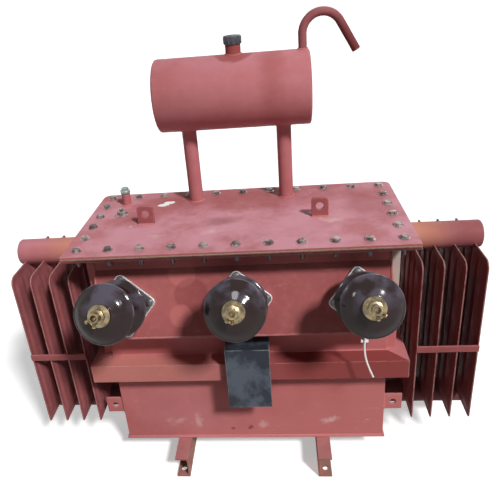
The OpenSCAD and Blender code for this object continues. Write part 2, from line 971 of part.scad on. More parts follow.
// Screwed cap with upright ribs and a chamfered top.
module filler_cap() {
    chamfer = 2 * cap_rib;
    core_r = filler_cap_r - cap_rib;
    rib_w = 2 * PI * filler_cap_r / cap_ribs / 2.5;
    color(dark) translate([filler_x, cons_y, cons_top + neck_h]) union() {
        cylinder(r = core_r, h = filler_cap_h - chamfer);
        translate([0, 0, filler_cap_h - chamfer]) cylinder(r1 = core_r, r2 = core_r - chamfer, h = chamfer);
        for (k = [0 : cap_ribs - 1])
            rotate([0, 0, 360 / cap_ribs * k])
                translate([core_r - cap_rib, -rib_w / 2, cap_rib])
                    cube([2 * cap_rib, rib_w, filler_cap_h - chamfer - 2 * cap_rib]);
    }
}

// Breather riser, welded to the conservator top.
module breather_riser() {
    base_z = cons_z + cons_r / 2;
    color(primer) difference() {
        translate([breather_x, cons_y, base_z]) pipe(bend_z - base_z);
        conservator_space();
    }
}

module breather_bend() {
    color(primer) translate([breather_x + bend_r, cons_y, bend_z])
        rotate([90, 0, 0])
            rotate([0, 0, 180 - bend_sweep])
                rotate_extrude(angle = bend_sweep)
                    translate([bend_r, 0])
                        pipe_ring();
}

// Straight open tail of the breather.
module breather_tail() {
    color(primer) translate([breather_x + bend_r, cons_y, bend_z])
        rotate([0, bend_sweep - 180, 0])
            translate([bend_r, 0, -tail_len])
                pipe(tail_len);
}

module pipe(run) {
    linear_extrude(run) pipe_ring();
}

module pipe_ring() {
    difference() {
        circle(r = breather_r);
        circle(r = breather_r - breather_wall);
    }
}

// Upright lugs on the lid, square below and rounded above, with a hole for a shackle.
module lifting_lugs() {
    color(primer)
        for (x = lug_xs)
            translate([x, lug_y + lug_t / 2, lid_top_z])
                rotate([90, 0, 0])
                    linear_extrude(lug_t)
                        difference() {
                            union() {
                                translate([-lug_w / 2, 0]) square([lug_w, lug_h / 2]);
                                translate([0, lug_h / 2]) rounded(lug_w, lug_h, lug_corner_r);
                            }
                            translate([0, lug_hole_up]) circle(r = lug_hole_r);
                        }
}

module thermometer_pocket() {
    color(primer) translate(thermo_at) cylinder(r = thermo_r, h = thermo_h);
}

module thermometer_cap() {
    color(steel) translate(thermo_at + [0, 0, thermo_h]) union() {
        cylinder(r = thermo_r + thermo_skirt, h = thermo_skirt_h);
        translate([0, 0, thermo_skirt_h]) cylinder(r = thermo_r - thermo_skirt, h = thermo_hex_h, $fn = 6);
    }
}

module vent_plug() {
    color(steel) translate(vent_at) union() {
        cylinder(r = vent_washer_r, h = vent_washer_t);
        translate([0, 0, vent_washer_t]) cylinder(r = vent_hex_r, h = vent_hex_h, $fn = 6);
        translate([0, 0, vent_washer_t + vent_hex_h]) cylinder(r = vent_nipple_r, h = vent_nipple_h);
    }
}

// Unit vector, and the direction of the tie route at point i.
function unit(v) = v / norm(v);
function tie_dir(i) = unit(tie_route[min(i + 1, len(tie_route) - 1)] - tie_route[max(i - 1, 0)]);

// Ring of points round the tie route at point i, across the route.
function tie_ring(i, sides) = let (
    side = unit(cross(tie_dir(i), [1, 0, 0])),
    across = cross(tie_dir(i), side)
) [
    for (k = [0 : sides - 1])
        tie_route[i] + tie_d / 2 * (cos(360 * k / sides) * side + sin(360 * k / sides) * across)
];

// White strap that hangs from the lower ear of the right clamp ring.
module tie_strap() {
    sides = 8;
    last = len(tie_route) - 1;
    points = [for (i = [0 : last]) each tie_ring(i, sides)];
    walls = [
        for (i = [0 : last - 1], k = [0 : sides - 1])
            let (turn = (k + 1) % sides)
                [i * sides + k, i * sides + turn, (i + 1) * sides + turn, (i + 1) * sides + k]
    ];
    near_end = [[for (k = [sides - 1 : -1 : 0]) k]];
    far_end = [[for (k = [0 : sides - 1]) last * sides + k]];
    color(white) polyhedron(points, concat(near_end, walls, far_end), convexity = 4);
}

// Locking head of the strap, just behind it.
module tie_head() {
    low = tie_head_at + [-tie_head_w / 2, tie_d / 2 + fit / 2, -tie_head_h / 2];
    color(white) span(low, low + [tie_head_w, tie_head_t, tie_head_h]);
}

rail_left();
rail_right();
tank_floor();
front_wall();
back_wall();
left_wall();
right_wall();
pocket_base();
hv_panel();
front_collar();
flange_front();
flange_back();
flange_left();
flange_right();
lid_gasket();
lid();
belt_front();
belt_back();
belt_left();
belt_right();
corner_flats();
earth_lugs();
plate_bracket();
hv_clamps();
hv_bushing_left();
hv_bushing_centre();
hv_bushing_right();
hv_terminals();
lv_bushings();
lv_terminals();
left_upper_header();
left_lower_header();
right_upper_header();
right_lower_header();
left_fins();
right_fins();
left_braces();
right_braces();
conservator_legs();
conservator_shell();
conservator_ends();
filler_neck();
filler_cap();
breather_riser();
breather_bend();
breather_tail();
lifting_lugs();
thermometer_pocket();
thermometer_cap();
vent_plug();
tie_strap();
tie_head();
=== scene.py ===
"""Dresses the CAD frame of an oil-filled distribution transformer.

Adds its finishes, cover bolts, glazed bushings, brass terminals, pressed fins, pipes, weld beads,
tie strap and studio stage. Lengths are metres, +Z is up and the high-voltage side faces -Y.
"""

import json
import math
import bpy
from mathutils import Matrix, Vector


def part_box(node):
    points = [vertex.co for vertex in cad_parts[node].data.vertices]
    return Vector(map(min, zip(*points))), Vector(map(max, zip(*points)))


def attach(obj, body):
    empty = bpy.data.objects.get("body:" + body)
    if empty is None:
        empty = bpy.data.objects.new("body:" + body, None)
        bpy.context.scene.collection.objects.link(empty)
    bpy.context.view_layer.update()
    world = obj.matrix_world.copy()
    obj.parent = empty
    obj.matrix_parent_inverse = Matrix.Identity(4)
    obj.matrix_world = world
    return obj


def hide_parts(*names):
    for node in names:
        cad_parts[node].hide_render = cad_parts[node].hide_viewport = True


bl_info = {
    "name": "Distribution Transformer Dressing",
    "version": (1, 0, 0),
    "blender": (4, 5, 0),
    "location": "View3D > Sidebar > Transformer",
    "description": "Builds the visible pieces and finishes of a distribution transformer on its frame",
    "category": "Object",
}

from typing import NamedTuple

import bmesh
import bpy
import numpy as np
from bpy.props import FloatProperty, FloatVectorProperty, IntProperty, PointerProperty
from bpy.types import Operator, Panel, PropertyGroup
from mathutils import Matrix, Vector

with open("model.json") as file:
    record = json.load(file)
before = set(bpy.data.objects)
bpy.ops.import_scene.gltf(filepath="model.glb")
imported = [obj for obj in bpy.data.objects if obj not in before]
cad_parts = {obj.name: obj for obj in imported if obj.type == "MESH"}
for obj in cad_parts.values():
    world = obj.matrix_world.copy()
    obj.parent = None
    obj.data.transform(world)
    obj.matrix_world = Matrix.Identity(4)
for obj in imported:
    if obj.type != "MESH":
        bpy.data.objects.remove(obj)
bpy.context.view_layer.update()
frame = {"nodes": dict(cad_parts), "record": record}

FULL_TURN = 2 * math.pi
UP = (0, 0, 1)
ACROSS = (1, 0, 0)
EVEN = (1, 1, 1)
MERGE_DISTANCE = 1e-6
PLATE_MERGE_DISTANCE = 1e-5


# Settings


def length(name, default, description):
    """A length in metres."""
    return FloatProperty(
        name=name, description=description, default=default, min=0, unit="LENGTH", precision=4
    )


def angle(name, degrees, description):
    """An angle, given in degrees."""
    return FloatProperty(
        name=name, description=description, default=math.radians(degrees), subtype="ANGLE"
    )


def colour(name, default, description):
    """A linear colour."""
    return FloatVectorProperty(
        name=name, description=description, default=default, size=3, min=0, max=1, subtype="COLOR"
    )


def count(name, default, description):
    """A whole number of like things."""
    return IntProperty(name=name, description=description, default=default, min=1)


def share(name, default, description):
    """A part of one."""
    return FloatProperty(name=name, description=description, default=default, min=0, max=1, subtype="FACTOR")


def level(name, default, description):
    """A plain positive number."""
    return FloatProperty(name=name, description=description, default=default, min=0)


def point(name, default, description):
    """A place, or the side that something comes from."""
    return FloatVectorProperty(name=name, description=description, default=default, subtype="TRANSLATION")


def pixels(name, default, description):
    """Two measures in the picture."""
    return FloatVectorProperty(name=name, description=description, default=default, size=2)


class FinishSettings(PropertyGroup):
    """Colours of the finishes, and the broken edges of the plates."""

    primer: colour("Primer", (0.37, 0.092, 0.086), "Red-oxide primer in a full coat")
    primer_deep: colour("Deep primer", (0.31, 0.068, 0.062), "Primer where the spray lies thick")
    # Also laid as painted shade by the marks on the right fins and on the right of the belt.
    dark_primer_and_shade: colour("Dark primer", (0.17, 0.036, 0.036), "Older primer under the last coat")
    # Painted shade: near-black primer standing for the shadow on the front rim under the lid and on the lower
    # header pipes.
    primer_painted_shade: colour("Sooty primer", (0.042, 0.012, 0.013), "Primer gone dark in the gaps")
    film: colour("Film", (0.51, 0.155, 0.146), "Dry overspray that makes the primer pale")
    dust: colour("Dust", (0.64, 0.305, 0.360), "Dust lying on the primer")
    # Pale edge: rubbed primer, and in part a painted highlight where light catches the plate edges.
    worn_and_highlit: colour("Worn edge", (0.62, 0.37, 0.34), "Primer rubbed pale along the edges")
    scuff: colour("Scuff", (0.80, 0.62, 0.59), "Scratches through the primer")
    ochre: colour("Ochre", (0.56, 0.245, 0.150), "Older orange primer on the header pipes")
    splash: colour("Splash", (0.90, 0.88, 0.86), "White paint spilled on the lid")
    soil: colour("Soil", (0.26, 0.155, 0.11), "Dried mud near the ground")
    bare: colour("Bare plate", (0.50, 0.42, 0.37), "Pale plate that the primer missed")
    porcelain: colour("Porcelain", (0.024, 0.012, 0.012), "Dark brown glaze")
    porcelain_film: colour("Porcelain film", (0.085, 0.073, 0.100), "Dust film on the glaze")
    # Painted highlight: pale band on the upper side of the shed rims.
    porcelain_rim: colour("Porcelain rim", (0.26, 0.23, 0.25), "Thin pale glaze on the shed rims")
    brass: colour("Brass", (0.34, 0.26, 0.145), "Turned brass")
    brass_dull: colour("Dull brass", (0.15, 0.125, 0.085), "Tarnish on the brass")
    aluminium: colour("Cast metal", (0.86, 0.86, 0.86), "Rubbed edges of the clamp rings")
    # Painted shade: dark face of the clamp rings under the sheds, and the base of the zinc in shade.
    cast_metal_shade: colour("Dull cast metal", (0.11, 0.11, 0.115), "Grey skin of the clamp rings")
    zinc: colour("Zinc", (0.45, 0.395, 0.375), "Plated bolts")
    zinc_dull: colour("Dull zinc", (0.085, 0.054, 0.051), "Grime and overspray on the bolts")
    slate: colour("Slate plate", (0.022, 0.027, 0.036), "Paint of the hanging plate")
    slate_worn: colour("Slate edge", (0.36, 0.37, 0.39), "Bright rubbed edges of the hanging plate")
    slate_dust: colour("Slate dust", (0.085, 0.098, 0.125), "Dust smeared over the hanging plate")
    cork: colour("Cork", (0.40, 0.29, 0.21), "Gasket sheet")
    cork_grain: colour("Cork grain", (0.26, 0.16, 0.11), "Dark crumbs in the gasket sheet")
    cap: colour("Filler cap", (0.044, 0.044, 0.057), "Moulded filler cap")
    galvanised: colour("Galvanised", (0.34, 0.41, 0.37), "Thermometer cap")
    nylon: colour("Nylon", (0.86, 0.84, 0.80), "Tie strap")
    edge: length("Broken edge", 0.0012, "Rounding of the plate edges")
    gasket_edge: length("Gasket edge", 0.0006, "Rounding of the gasket edges")


class BoltSettings(PropertyGroup):
    """Fasteners of the cover and of the bushing clamps."""

    inset: length("Inset", 0.035, "From the lid edge to the bolt centres")
    along: count("Along", 11, "Bolts along the front and along the back")
    across: count("Across", 6, "Bolts along each end, corner bolts counted")
    flats: length("Flats", 0.018, "Hexagon size over the flats")
    head: length("Head", 0.0065, "Height of a bolt head")
    nut: length("Nut", 0.010, "Height of a nut")
    washer: length("Washer", 0.0135, "Radius of a washer")
    washer_t: length("Washer thickness", 0.0022, "Thickness of a washer")
    shank: length("Shank", 0.006, "Radius of a bolt shank")
    shank_end: length("Shank end", 0.015, "Bolt end past its nut")
    bevel: length("Bevel", 0.001, "Bevel on the bolt ends")
    clamp_flats: length("Clamp flats", 0.015, "Hexagon size of the clamp bolts over the flats")
    clamp_head: length("Clamp head", 0.006, "Height of a clamp bolt head")
    clamp_washer: length("Clamp washer", 0.0099, "Radius of a clamp bolt washer")
    clamp_ear: length("Clamp ear", 0.07071, "From the bushing axis to a clamp bolt")
    clamp_first: angle("First ear", 7, "Place of the first clamp bolt round the bushing")
    seed: count("Seed", 7, "Start of the random turns of the cover bolts")
    clamp_seed: count("Clamp seed", 11, "Start of the random turns of the clamp bolts")


class BushingSettings(PropertyGroup):
    """Glazed bushings and their terminals."""

    drop: length("Drop", 0.098, "Down the sloping panel to the bushing centres")
    pitch: length("Pitch", 0.315, "Between neighbouring bushings")
    shed: length("Shed", 0.075, "Radius of a shed")
    rim: length("Rim", 0.005, "Radius of the rounded shed rims")
    rear_at: length("Rear shed", 0.064, "From the panel to the rear shed")
    front_at: length("Front shed", 0.176, "From the panel to the front shed")
    body: length("Body", 0.046, "Radius in the clamp ring")
    waist: length("Waist", 0.040, "Radius between the sheds")
    reach: length("Reach", 0.206, "Length of the porcelain past the panel")
    cap: length("Cap", 0.027, "Radius of the brass cap")
    cap_h: length("Cap height", 0.009, "Straight height of the brass cap")
    shoulder: length("Shoulder", 0.007, "Height of the coned shoulder")
    nut: length("Nut", 0.018, "Nut radius over the corners")
    nut_h: length("Nut height", 0.009, "Height of the nut")
    stem: length("Stem", 0.012, "Radius of the socket stem")
    bore: length("Bore", 0.007, "Radius of the socket bore")
    stem_len: length("Stem length", 0.022, "Length of the socket stem")
    bore_depth: length("Bore depth", 0.018, "Depth of the socket bore")
    bevel: length("Bevel", 0.0008, "Bevel on the turned brass edges")
    screw: length("Screw", 0.0045, "Radius of the clamp screws")
    screw_len: length("Screw length", 0.012, "Length of the clamp screws past the stem")
    screw_plain: length("Screw head", 0.003, "Screw end without a thread")
    screw_bevel: length("Screw bevel", 0.001, "Bevel on the screw ends")
    thread: length("Thread", 0.0006, "Depth of the screw thread")
    thread_rows: count("Thread rows", 19, "Crests and roots along a screw")
    clamp_t: length("Clamp thickness", 0.011, "Thickness of the clamp rings")


class LowSideSettings(PropertyGroup):
    """Small bushings on the back."""

    number: count("Number", 4, "Low-voltage bushings")
    shed: length("Shed", 0.038, "Radius of a shed")
    body: length("Body", 0.032, "Radius at the wall")
    body_h: length("Body height", 0.016, "Height of the body at the wall")
    neck: length("Neck", 0.024, "Radius under the shed")
    shed_at: length("Shed place", 0.040, "From the wall to the shed")
    reach: length("Reach", 0.062, "Length of the porcelain")
    stud: length("Stud", 0.008, "Radius of the stud")
    stud_len: length("Stud length", 0.053, "Length of the stud")
    stud_bevel: length("Stud bevel", 0.002, "Bevel on the stud ends")
    nut: length("Nut", 0.014, "Nut radius over the corners")
    nut_h: length("Nut height", 0.009, "Height of a nut")


class RadiatorSettings(PropertyGroup):
    """Fins and header pipes."""

    fins: count("Fins", 4, "Fins on each side")
    thick: length("Thickness", 0.012, "Largest thickness of a fin")
    valley: length("Valley", 0.006, "Thickness between the flutes")
    seam: length("Seam", 0.003, "Thickness at the welded seam")
    seam_w: length("Seam width", 0.012, "Width of the flat seam")
    shoulder: length("Shoulder", 0.008, "Width over which the fin rises from its seam")
    flutes: count("Flutes", 5, "Flutes pressed in a fin")
    flank: share("Flank", 0.26, "Part of a flute that each of its flanks takes")
    pinch: length("Pinch", 0.044, "Length over which the flutes fade at the ends")
    corner: length("Corner", 0.024, "Radius of the upper front corner of a fin")
    small_corner: length("Small corner", 0.008, "Radius of the other corners of a fin")
    header: length("Header", 0.038, "Radius of a header pipe")
    header_edge: length("Header edge", 0.006, "Rounding of the closed header end")


class DrumSettings(PropertyGroup):
    """Conservator drum, its legs and pipes."""

    dish: length("Dish", 0.008, "Dish of the drum ends")
    leg: length("Leg", 0.021, "Radius of a leg pipe")
    leg_end: share("Leg end", 0.8, "Drop of the leg ends below the drum axis, in drum radii")
    neck: length("Neck", 0.021, "Radius of the filler neck")
    lip: length("Lip", 0.0015, "Bevel on the filler neck")
    ribs: count("Ribs", 12, "Ribs round the filler cap")
    rib: length("Rib", 0.0015, "Depth of the ribs")
    pipe: length("Pipe", 0.0115, "Radius of the breather pipe")
    pipe_wall: length("Pipe wall", 0.0025, "Wall of the breather pipe")
    pipe_root: length("Pipe root", 0.004, "Depth of the breather pipe in the drum")
    bend: length("Bend", 0.053, "Radius of the breather bend")
    sweep: angle("Sweep", 150, "Turn of the breather bend")
    tail: length("Tail", 0.087, "Straight tail of the breather")


class WeldSettings(PropertyGroup):
    """Weld beads."""

    bead: length("Bead", 0.0030, "Radius of a bead")
    ripple: length("Ripple", 0.0045, "Spacing of the ripples along a bead")
    swell: share("Swell", 0.16, "How far the ripples swell the bead")
    wander: share("Wander", 0.12, "How far the bead wanders in size")
    lug: length("Lug", 0.046, "Length of the beads at a lifting lug")
    seed: count("Seed", 3, "Start of the random sizes along the beads")


class TieSettings(PropertyGroup):
    """White tie strap."""

    width: length("Width", 0.005, "Width of the strap")
    thick: length("Thickness", 0.0036, "Thickness of the strap")


class StageSettings(PropertyGroup):
    """Camera, lamps and floor."""

    eye: point("Eye", (0.121282, -1.426327, 1.373316), "Place of the camera")
    pitch: angle("Pitch", 25.127, "Turn of the camera below the horizon")
    yaw: angle("Yaw", -6.324, "Turn of the camera towards +X")
    roll: angle("Roll", 5.141, "Roll of the camera")
    focal_px: level("Focal length", 550.667, "Focal length in picture pixels")
    centre_px: pixels("Centre", (228.647, 237.018), "Picture pixel on the lens axis")
    picture_px: pixels("Picture", (500, 483), "Picture size in pixels")
    key: level("Key", 3.30, "Strength of the key lamp")
    key_spread: angle("Key spread", 8, "Width of the key lamp in the sky")
    key_from: point("Key side", (0.45, -0.56, 0.70), "Side that the key lamp shines from")
    fill: level("Fill", 0.08, "Strength of the low front lamp")
    fill_spread: angle("Fill spread", 40, "Width of the low front lamp in the sky")
    fill_from: point("Fill side", (0.3, -1.2, 0.2), "Side that the low front lamp shines from")
    back: level("Back", 0.4, "Strength of the lamp behind the object")
    back_spread: angle("Back spread", 30, "Width of the lamp behind the object in the sky")
    back_from: point("Back side", (0.4, 1.0, 0.45), "Side that the lamp behind the object shines from")
    glint: level("Glint", 0.4, "Watts of the lamp that gleams on the glaze")
    glint_wide: length("Glint width", 0.10, "Width of that lamp")
    glint_at: point("Glint place", (0, -0.5, 1.0), "Place of that lamp")
    glint_from: point("Glint side", (0, -0.35, 0.9), "Side that that lamp shines from")
    sky: level("Sky", 0.115, "Strength of the surrounding light")
    floor_half: length("Floor", 20.0, "Half the floor width")
    floor: colour("Floor colour", (0.90, 0.90, 0.90), "Pale studio floor")
    floor_glow: level("Floor glow", 0.40, "Light that keeps the seen floor white")
    floor_thrown: colour("Floor light", (0.32, 0.30, 0.29), "Floor as it lights the object")


SETTINGS = {
    "finish": FinishSettings,
    "bolts": BoltSettings,
    "bushing": BushingSettings,
    "low_side": LowSideSettings,
    "radiator": RadiatorSettings,
    "drum": DrumSettings,
    "weld": WeldSettings,
    "tie": TieSettings,
    "stage": StageSettings,
}


def settings(group):
    """The scene's settings of one group."""
    return getattr(bpy.context.scene, "transformer_" + group)


def spans(node):
    """A CAD node's lowest corner, highest corner, middle and size."""
    low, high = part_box(node)
    return low, high, (low + high) / 2, high - low


# Surfaces


def grid_faces(rows, cols, wrap_rows=False):
    """Quads of a grid that closes on itself along its columns, and along its rows where asked."""
    r, c = np.meshgrid(np.arange(rows if wrap_rows else rows - 1), np.arange(cols), indexing="ij")
    r_next, c_next = (r + 1) % rows, (c + 1) % cols
    quads = [r * cols + c, r_next * cols + c, r_next * cols + c_next, r * cols + c_next]
    return np.stack(quads, axis=-1).reshape(-1, 4)


def surface(grid, wrap_rows=False):
    """Points and quads of a grid of points whose columns run round the piece."""
    rows, cols = grid.shape[:2]
    return grid.reshape(-1, 3), grid_faces(rows, cols, wrap_rows)


def turned(radius, turn, height):
    """Surface whose points lie at a radius, a turn about Z and a height."""
    x, y, z = np.broadcast_arrays(radius * np.cos(turn), radius * np.sin(turn), height)
    return surface(np.stack([x, y, z], axis=-1))


def round_turn(sides):
    """Even angles round a full turn."""
    return np.linspace(0, FULL_TURN, sides, endpoint=False)


def lathe(profile, sides):
    """Surface of revolution: each (radius, height) of the profile is turned about Z."""
    radius, height = np.asarray(profile, float).T
    return turned(radius[:, None], round_turn(sides), height[:, None])


def rod(radius, run, sides, bevel=0.0):
    """Round bar up Z, with its far end bevelled where asked."""
    end = [(radius, run - bevel), (radius - bevel, run)] if bevel else [(radius, run)]
    return lathe([(0, 0), (radius, 0), *end, (0, run)], sides)


def disc(radius, thick, sides):
    """Flat washer with eased edges."""
    return lathe(eased([(0, 0), (radius, 0), (radius, thick), (0, thick)], rounds=2), sides)


def hexagon(over_corners, height, corners=6, sides=36, crown=0.94):
    """Prism with a coned top: the radius is the distance to the flat at each angle, and from the crown
    circle the top falls at 30 degrees to the corners."""
    turn = round_turn(sides)
    sector = FULL_TURN / corners
    flat = over_corners * math.cos(sector / 2)
    wall = flat / np.cos(turn % sector - sector / 2)
    top = np.full(sides, flat * crown)
    none = np.zeros(sides)
    brow = height - (wall - top) * math.tan(math.radians(30))
    radius = np.stack([none, wall, wall, top, none])
    return turned(radius, turn, np.stack([none, none, brow, none + height, none + height]))


def sweep(path, ring, across, scale=1.0, closed=False):
    """A ring of (side, across) offsets carried along a path. Side is square to the path and to the
    across direction, and the scale swells the ring at each path point. An open path ends in points."""
    path = np.asarray(path, float)
    if closed:
        run = np.roll(path, -1, axis=0) - np.roll(path, 1, axis=0)
    else:
        run = np.gradient(path, axis=0)
    run /= np.linalg.norm(run, axis=1, keepdims=True)
    side = np.cross(run, np.asarray(across, float))
    side /= np.linalg.norm(side, axis=1, keepdims=True)
    rise = np.cross(side, run)
    scale = np.broadcast_to(np.asarray(scale, float), len(path))[:, None, None]
    ring = np.asarray(ring, float)
    grid = path[:, None] + scale * (ring[None, :, :1] * side[:, None] + ring[None, :, 1:] * rise[:, None])
    if not closed:
        first, last = (np.broadcast_to(end[None, None], grid[:1].shape) for end in (path[0], path[-1]))
        grid = np.concatenate([first, grid, last])
    return surface(grid, wrap_rows=closed)


def oval(width, height, sides):
    """Ring of offsets on an ellipse."""
    turn = round_turn(sides)
    return np.stack([width / 2 * np.cos(turn), height / 2 * np.sin(turn)], axis=-1)


def arc(centre, radius, first, last, steps=9):
    """Points on a circle from one angle in degrees to another."""
    turn = np.radians(np.linspace(first, last, steps))
    return np.stack([centre[0] + radius * np.cos(turn), centre[1] + radius * np.sin(turn)], axis=-1)


def eased(points, rounds=3):
    """Corner cutting: each round puts two points at the quarters of every stretch and keeps the ends."""
    line = np.asarray(points, float)
    for _ in range(rounds):
        near = 0.75 * line[:-1] + 0.25 * line[1:]
        far = 0.25 * line[:-1] + 0.75 * line[1:]
        quarters = np.stack([near, far], axis=1).reshape(-1, line.shape[1])
        line = np.concatenate([line[:1], quarters, line[-1:]])
    return line


def smooth(value):
    """The smooth step of values held between nought and one."""
    value = np.clip(value, 0, 1)
    return value * value * (3 - 2 * value)


def moved(part, place):
    """A part's points turned and shifted by a 4 by 4 place."""
    points, faces = part
    place = np.asarray(place, float)
    return points @ place[:3, :3].T + place[:3, 3], faces


def at(part, x, y, z, turn=0.0):
    """A part turned about Z and shifted."""
    return moved(part, Matrix.Translation((x, y, z)) @ Matrix.Rotation(turn, 4, "Z"))


def along_x(part, x, y, z):
    """A part turned so that its Z runs along +X, then shifted."""
    return moved(part, Matrix.Translation((x, y, z)) @ Matrix.Rotation(math.pi / 2, 4, "Y"))


def mirrored(part):
    """A part reflected across the YZ plane, with its faces turned back outwards."""
    points, faces = part
    return points * (-1, 1, 1), faces[:, ::-1]


def joined(parts):
    """Several parts as one list of points and one of quads."""
    starts = np.cumsum([0] + [len(points) for points, _ in parts[:-1]])
    faces = [quads + start for (_, quads), start in zip(parts, starts)]
    return np.concatenate([points for points, _ in parts]), np.concatenate(faces)


def add_piece(name, parts, finish, stands_for=(), sharp=32):
    """Makes one piece of its parts, closes its seams and poles, and lets it ride on the frame."""
    points, faces = joined(parts)
    mesh = bpy.data.meshes.new(name)
    mesh.from_pydata(points.tolist(), [], faces.tolist())
    work = bmesh.new()
    work.from_mesh(mesh)
    bmesh.ops.remove_doubles(work, verts=work.verts, dist=MERGE_DISTANCE)
    bmesh.ops.recalc_face_normals(work, faces=work.faces)
    work.to_mesh(mesh)
    work.free()
    mesh.shade_smooth()
    mesh.set_sharp_from_angle(angle=math.radians(sharp))
    mesh.materials.append(bpy.data.materials[finish])
    piece = bpy.data.objects.new(name, mesh)
    bpy.context.scene.collection.objects.link(piece)
    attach(piece, "root")
    if stands_for:
        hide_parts(*stands_for)
    return piece


# Finishes


class Mark(NamedTuple):
    """A patch of colour near a point of the object. Ragged sets how far its edge wanders and soft how far
    it blurs, as parts of the radius, and stretch scales the distance along each axis."""

    tone: tuple
    share: float
    point: tuple
    radius: float
    ragged: float
    soft: float
    stretch: tuple = EVEN


class Nodes:
    """Node tree of a material or of the world."""

    def __init__(self, owner):
        owner.use_nodes = True
        self.tree = owner.node_tree

    def put(self, socket, value):
        """Links an output to a socket, or sets the socket to a plain value."""
        if isinstance(value, bpy.types.NodeSocket):
            self.tree.links.new(value, socket)
        elif socket.type == "RGBA" and len(value) == 3:
            socket.default_value = (*value, 1)
        else:
            socket.default_value = value

    def fill(self, node, sockets):
        """Fills the named sockets of a node."""
        for name, value in sockets.items():
            self.put(node.inputs[name], value)
        return node

    def node(self, kind, **sockets):
        """Adds a node and fills its named sockets."""
        return self.fill(self.tree.nodes.new("ShaderNode" + kind), sockets)

    def worked(self, kind, operation, values):
        """Adds a node that works on its sockets in order."""
        made = self.node(kind)
        made.operation = operation
        for socket, value in zip(made.inputs, values):
            self.put(socket, value)
        return made.outputs

    def calc(self, operation, *values):
        """Arithmetic on values."""
        return self.worked("Math", operation, values)[0]


class Finish(Nodes):
    """One procedural material. Each call adds nodes, wires them and returns their output."""

    def __init__(self, name, metallic=0.0, specular=0.5):
        super().__init__(bpy.data.materials.new(name))
        self.shader = self.tree.nodes["Principled BSDF"]
        self.fill(self.shader, {"Metallic": metallic, "Specular IOR Level": specular})
        self.place = self.node("TexCoord").outputs["Object"]

    def vector(self, operation, *values, output="Vector"):
        """Arithmetic on vectors."""
        return self.worked("VectorMath", operation, values)[output]

    def times(self, *values):
        """Product of several values."""
        made = values[0]
        for value in values[1:]:
            made = self.calc("MULTIPLY", made, value)
        return made

    def noise(self, scale, detail=3.0, roughness=0.5, stretch=EVEN, turn=(0, 0, 0)):
        """Noise over the object's own coordinates."""
        mapping = self.node("Mapping", Vector=self.place, Scale=stretch, Rotation=turn)
        vector = mapping.outputs["Vector"]
        texture = self.node("TexNoise", Vector=vector, Scale=scale, Detail=detail, Roughness=roughness)
        return texture.outputs["Fac"]

    def step(self, value, low, high, least=0.0, most=1.0):
        """Smooth step of a value from one level to another."""
        made = self.node("MapRange", Value=value)
        made.interpolation_type = "SMOOTHSTEP"
        self.fill(made, {"From Min": low, "From Max": high, "To Min": least, "To Max": most})
        return made.outputs["Result"]

    def mix(self, share, under, over):
        """One colour laid over another."""
        made = self.node("Mix")
        made.data_type = "RGBA"
        self.put(made.inputs["Factor"], share)
        sockets = [socket for socket in made.inputs if socket.type == "RGBA"]
        for socket, tone in zip(sockets, (under, over)):
            self.put(socket, tone)
        return next(socket for socket in made.outputs if socket.type == "RGBA")

    def axis(self, vector, letter):
        """One coordinate of a vector."""
        return self.node("SeparateXYZ", Vector=vector).outputs[letter]

    def normal(self):
        """Direction that the surface faces."""
        return self.node("NewGeometry").outputs["Normal"]

    def facing_up(self, low=0.55, high=0.95):
        """Where a face looks up."""
        return self.step(self.axis(self.normal(), "Z"), low, high)

    def edge(self, radius, low=0.02, high=0.16):
        """Where the surface turns sharply within a radius."""
        rounded = self.node("Bevel", Radius=radius)
        rounded.samples = 4
        same = self.vector("DOT_PRODUCT", rounded.outputs["Normal"], self.normal(), output="Value")
        return self.step(self.calc("SUBTRACT", 1.0, same), low, high)

    def near(self, mark):
        """Where the surface lies within the ragged radius of a mark, measured on its stretched axes."""
        away = self.vector("MULTIPLY", self.vector("SUBTRACT", self.place, mark.point), mark.stretch)
        far = self.vector("LENGTH", away, output="Value")
        wander = self.times(self.noise(1.8 / mark.radius, 4), mark.ragged * mark.radius)
        outer, inner = mark.radius * (1 + mark.soft), mark.radius * (1 - mark.soft)
        return self.step(self.calc("ADD", far, wander), outer, inner)

    def done(self, tone, roughness, height, depth):
        """Wires colour, roughness and a bump of that depth into the shader."""
        bump = self.node("Bump", Height=height, Distance=depth, Strength=1.0)
        self.fill(self.shader, {"Base Color": tone, "Roughness": roughness, "Normal": bump.outputs["Normal"]})


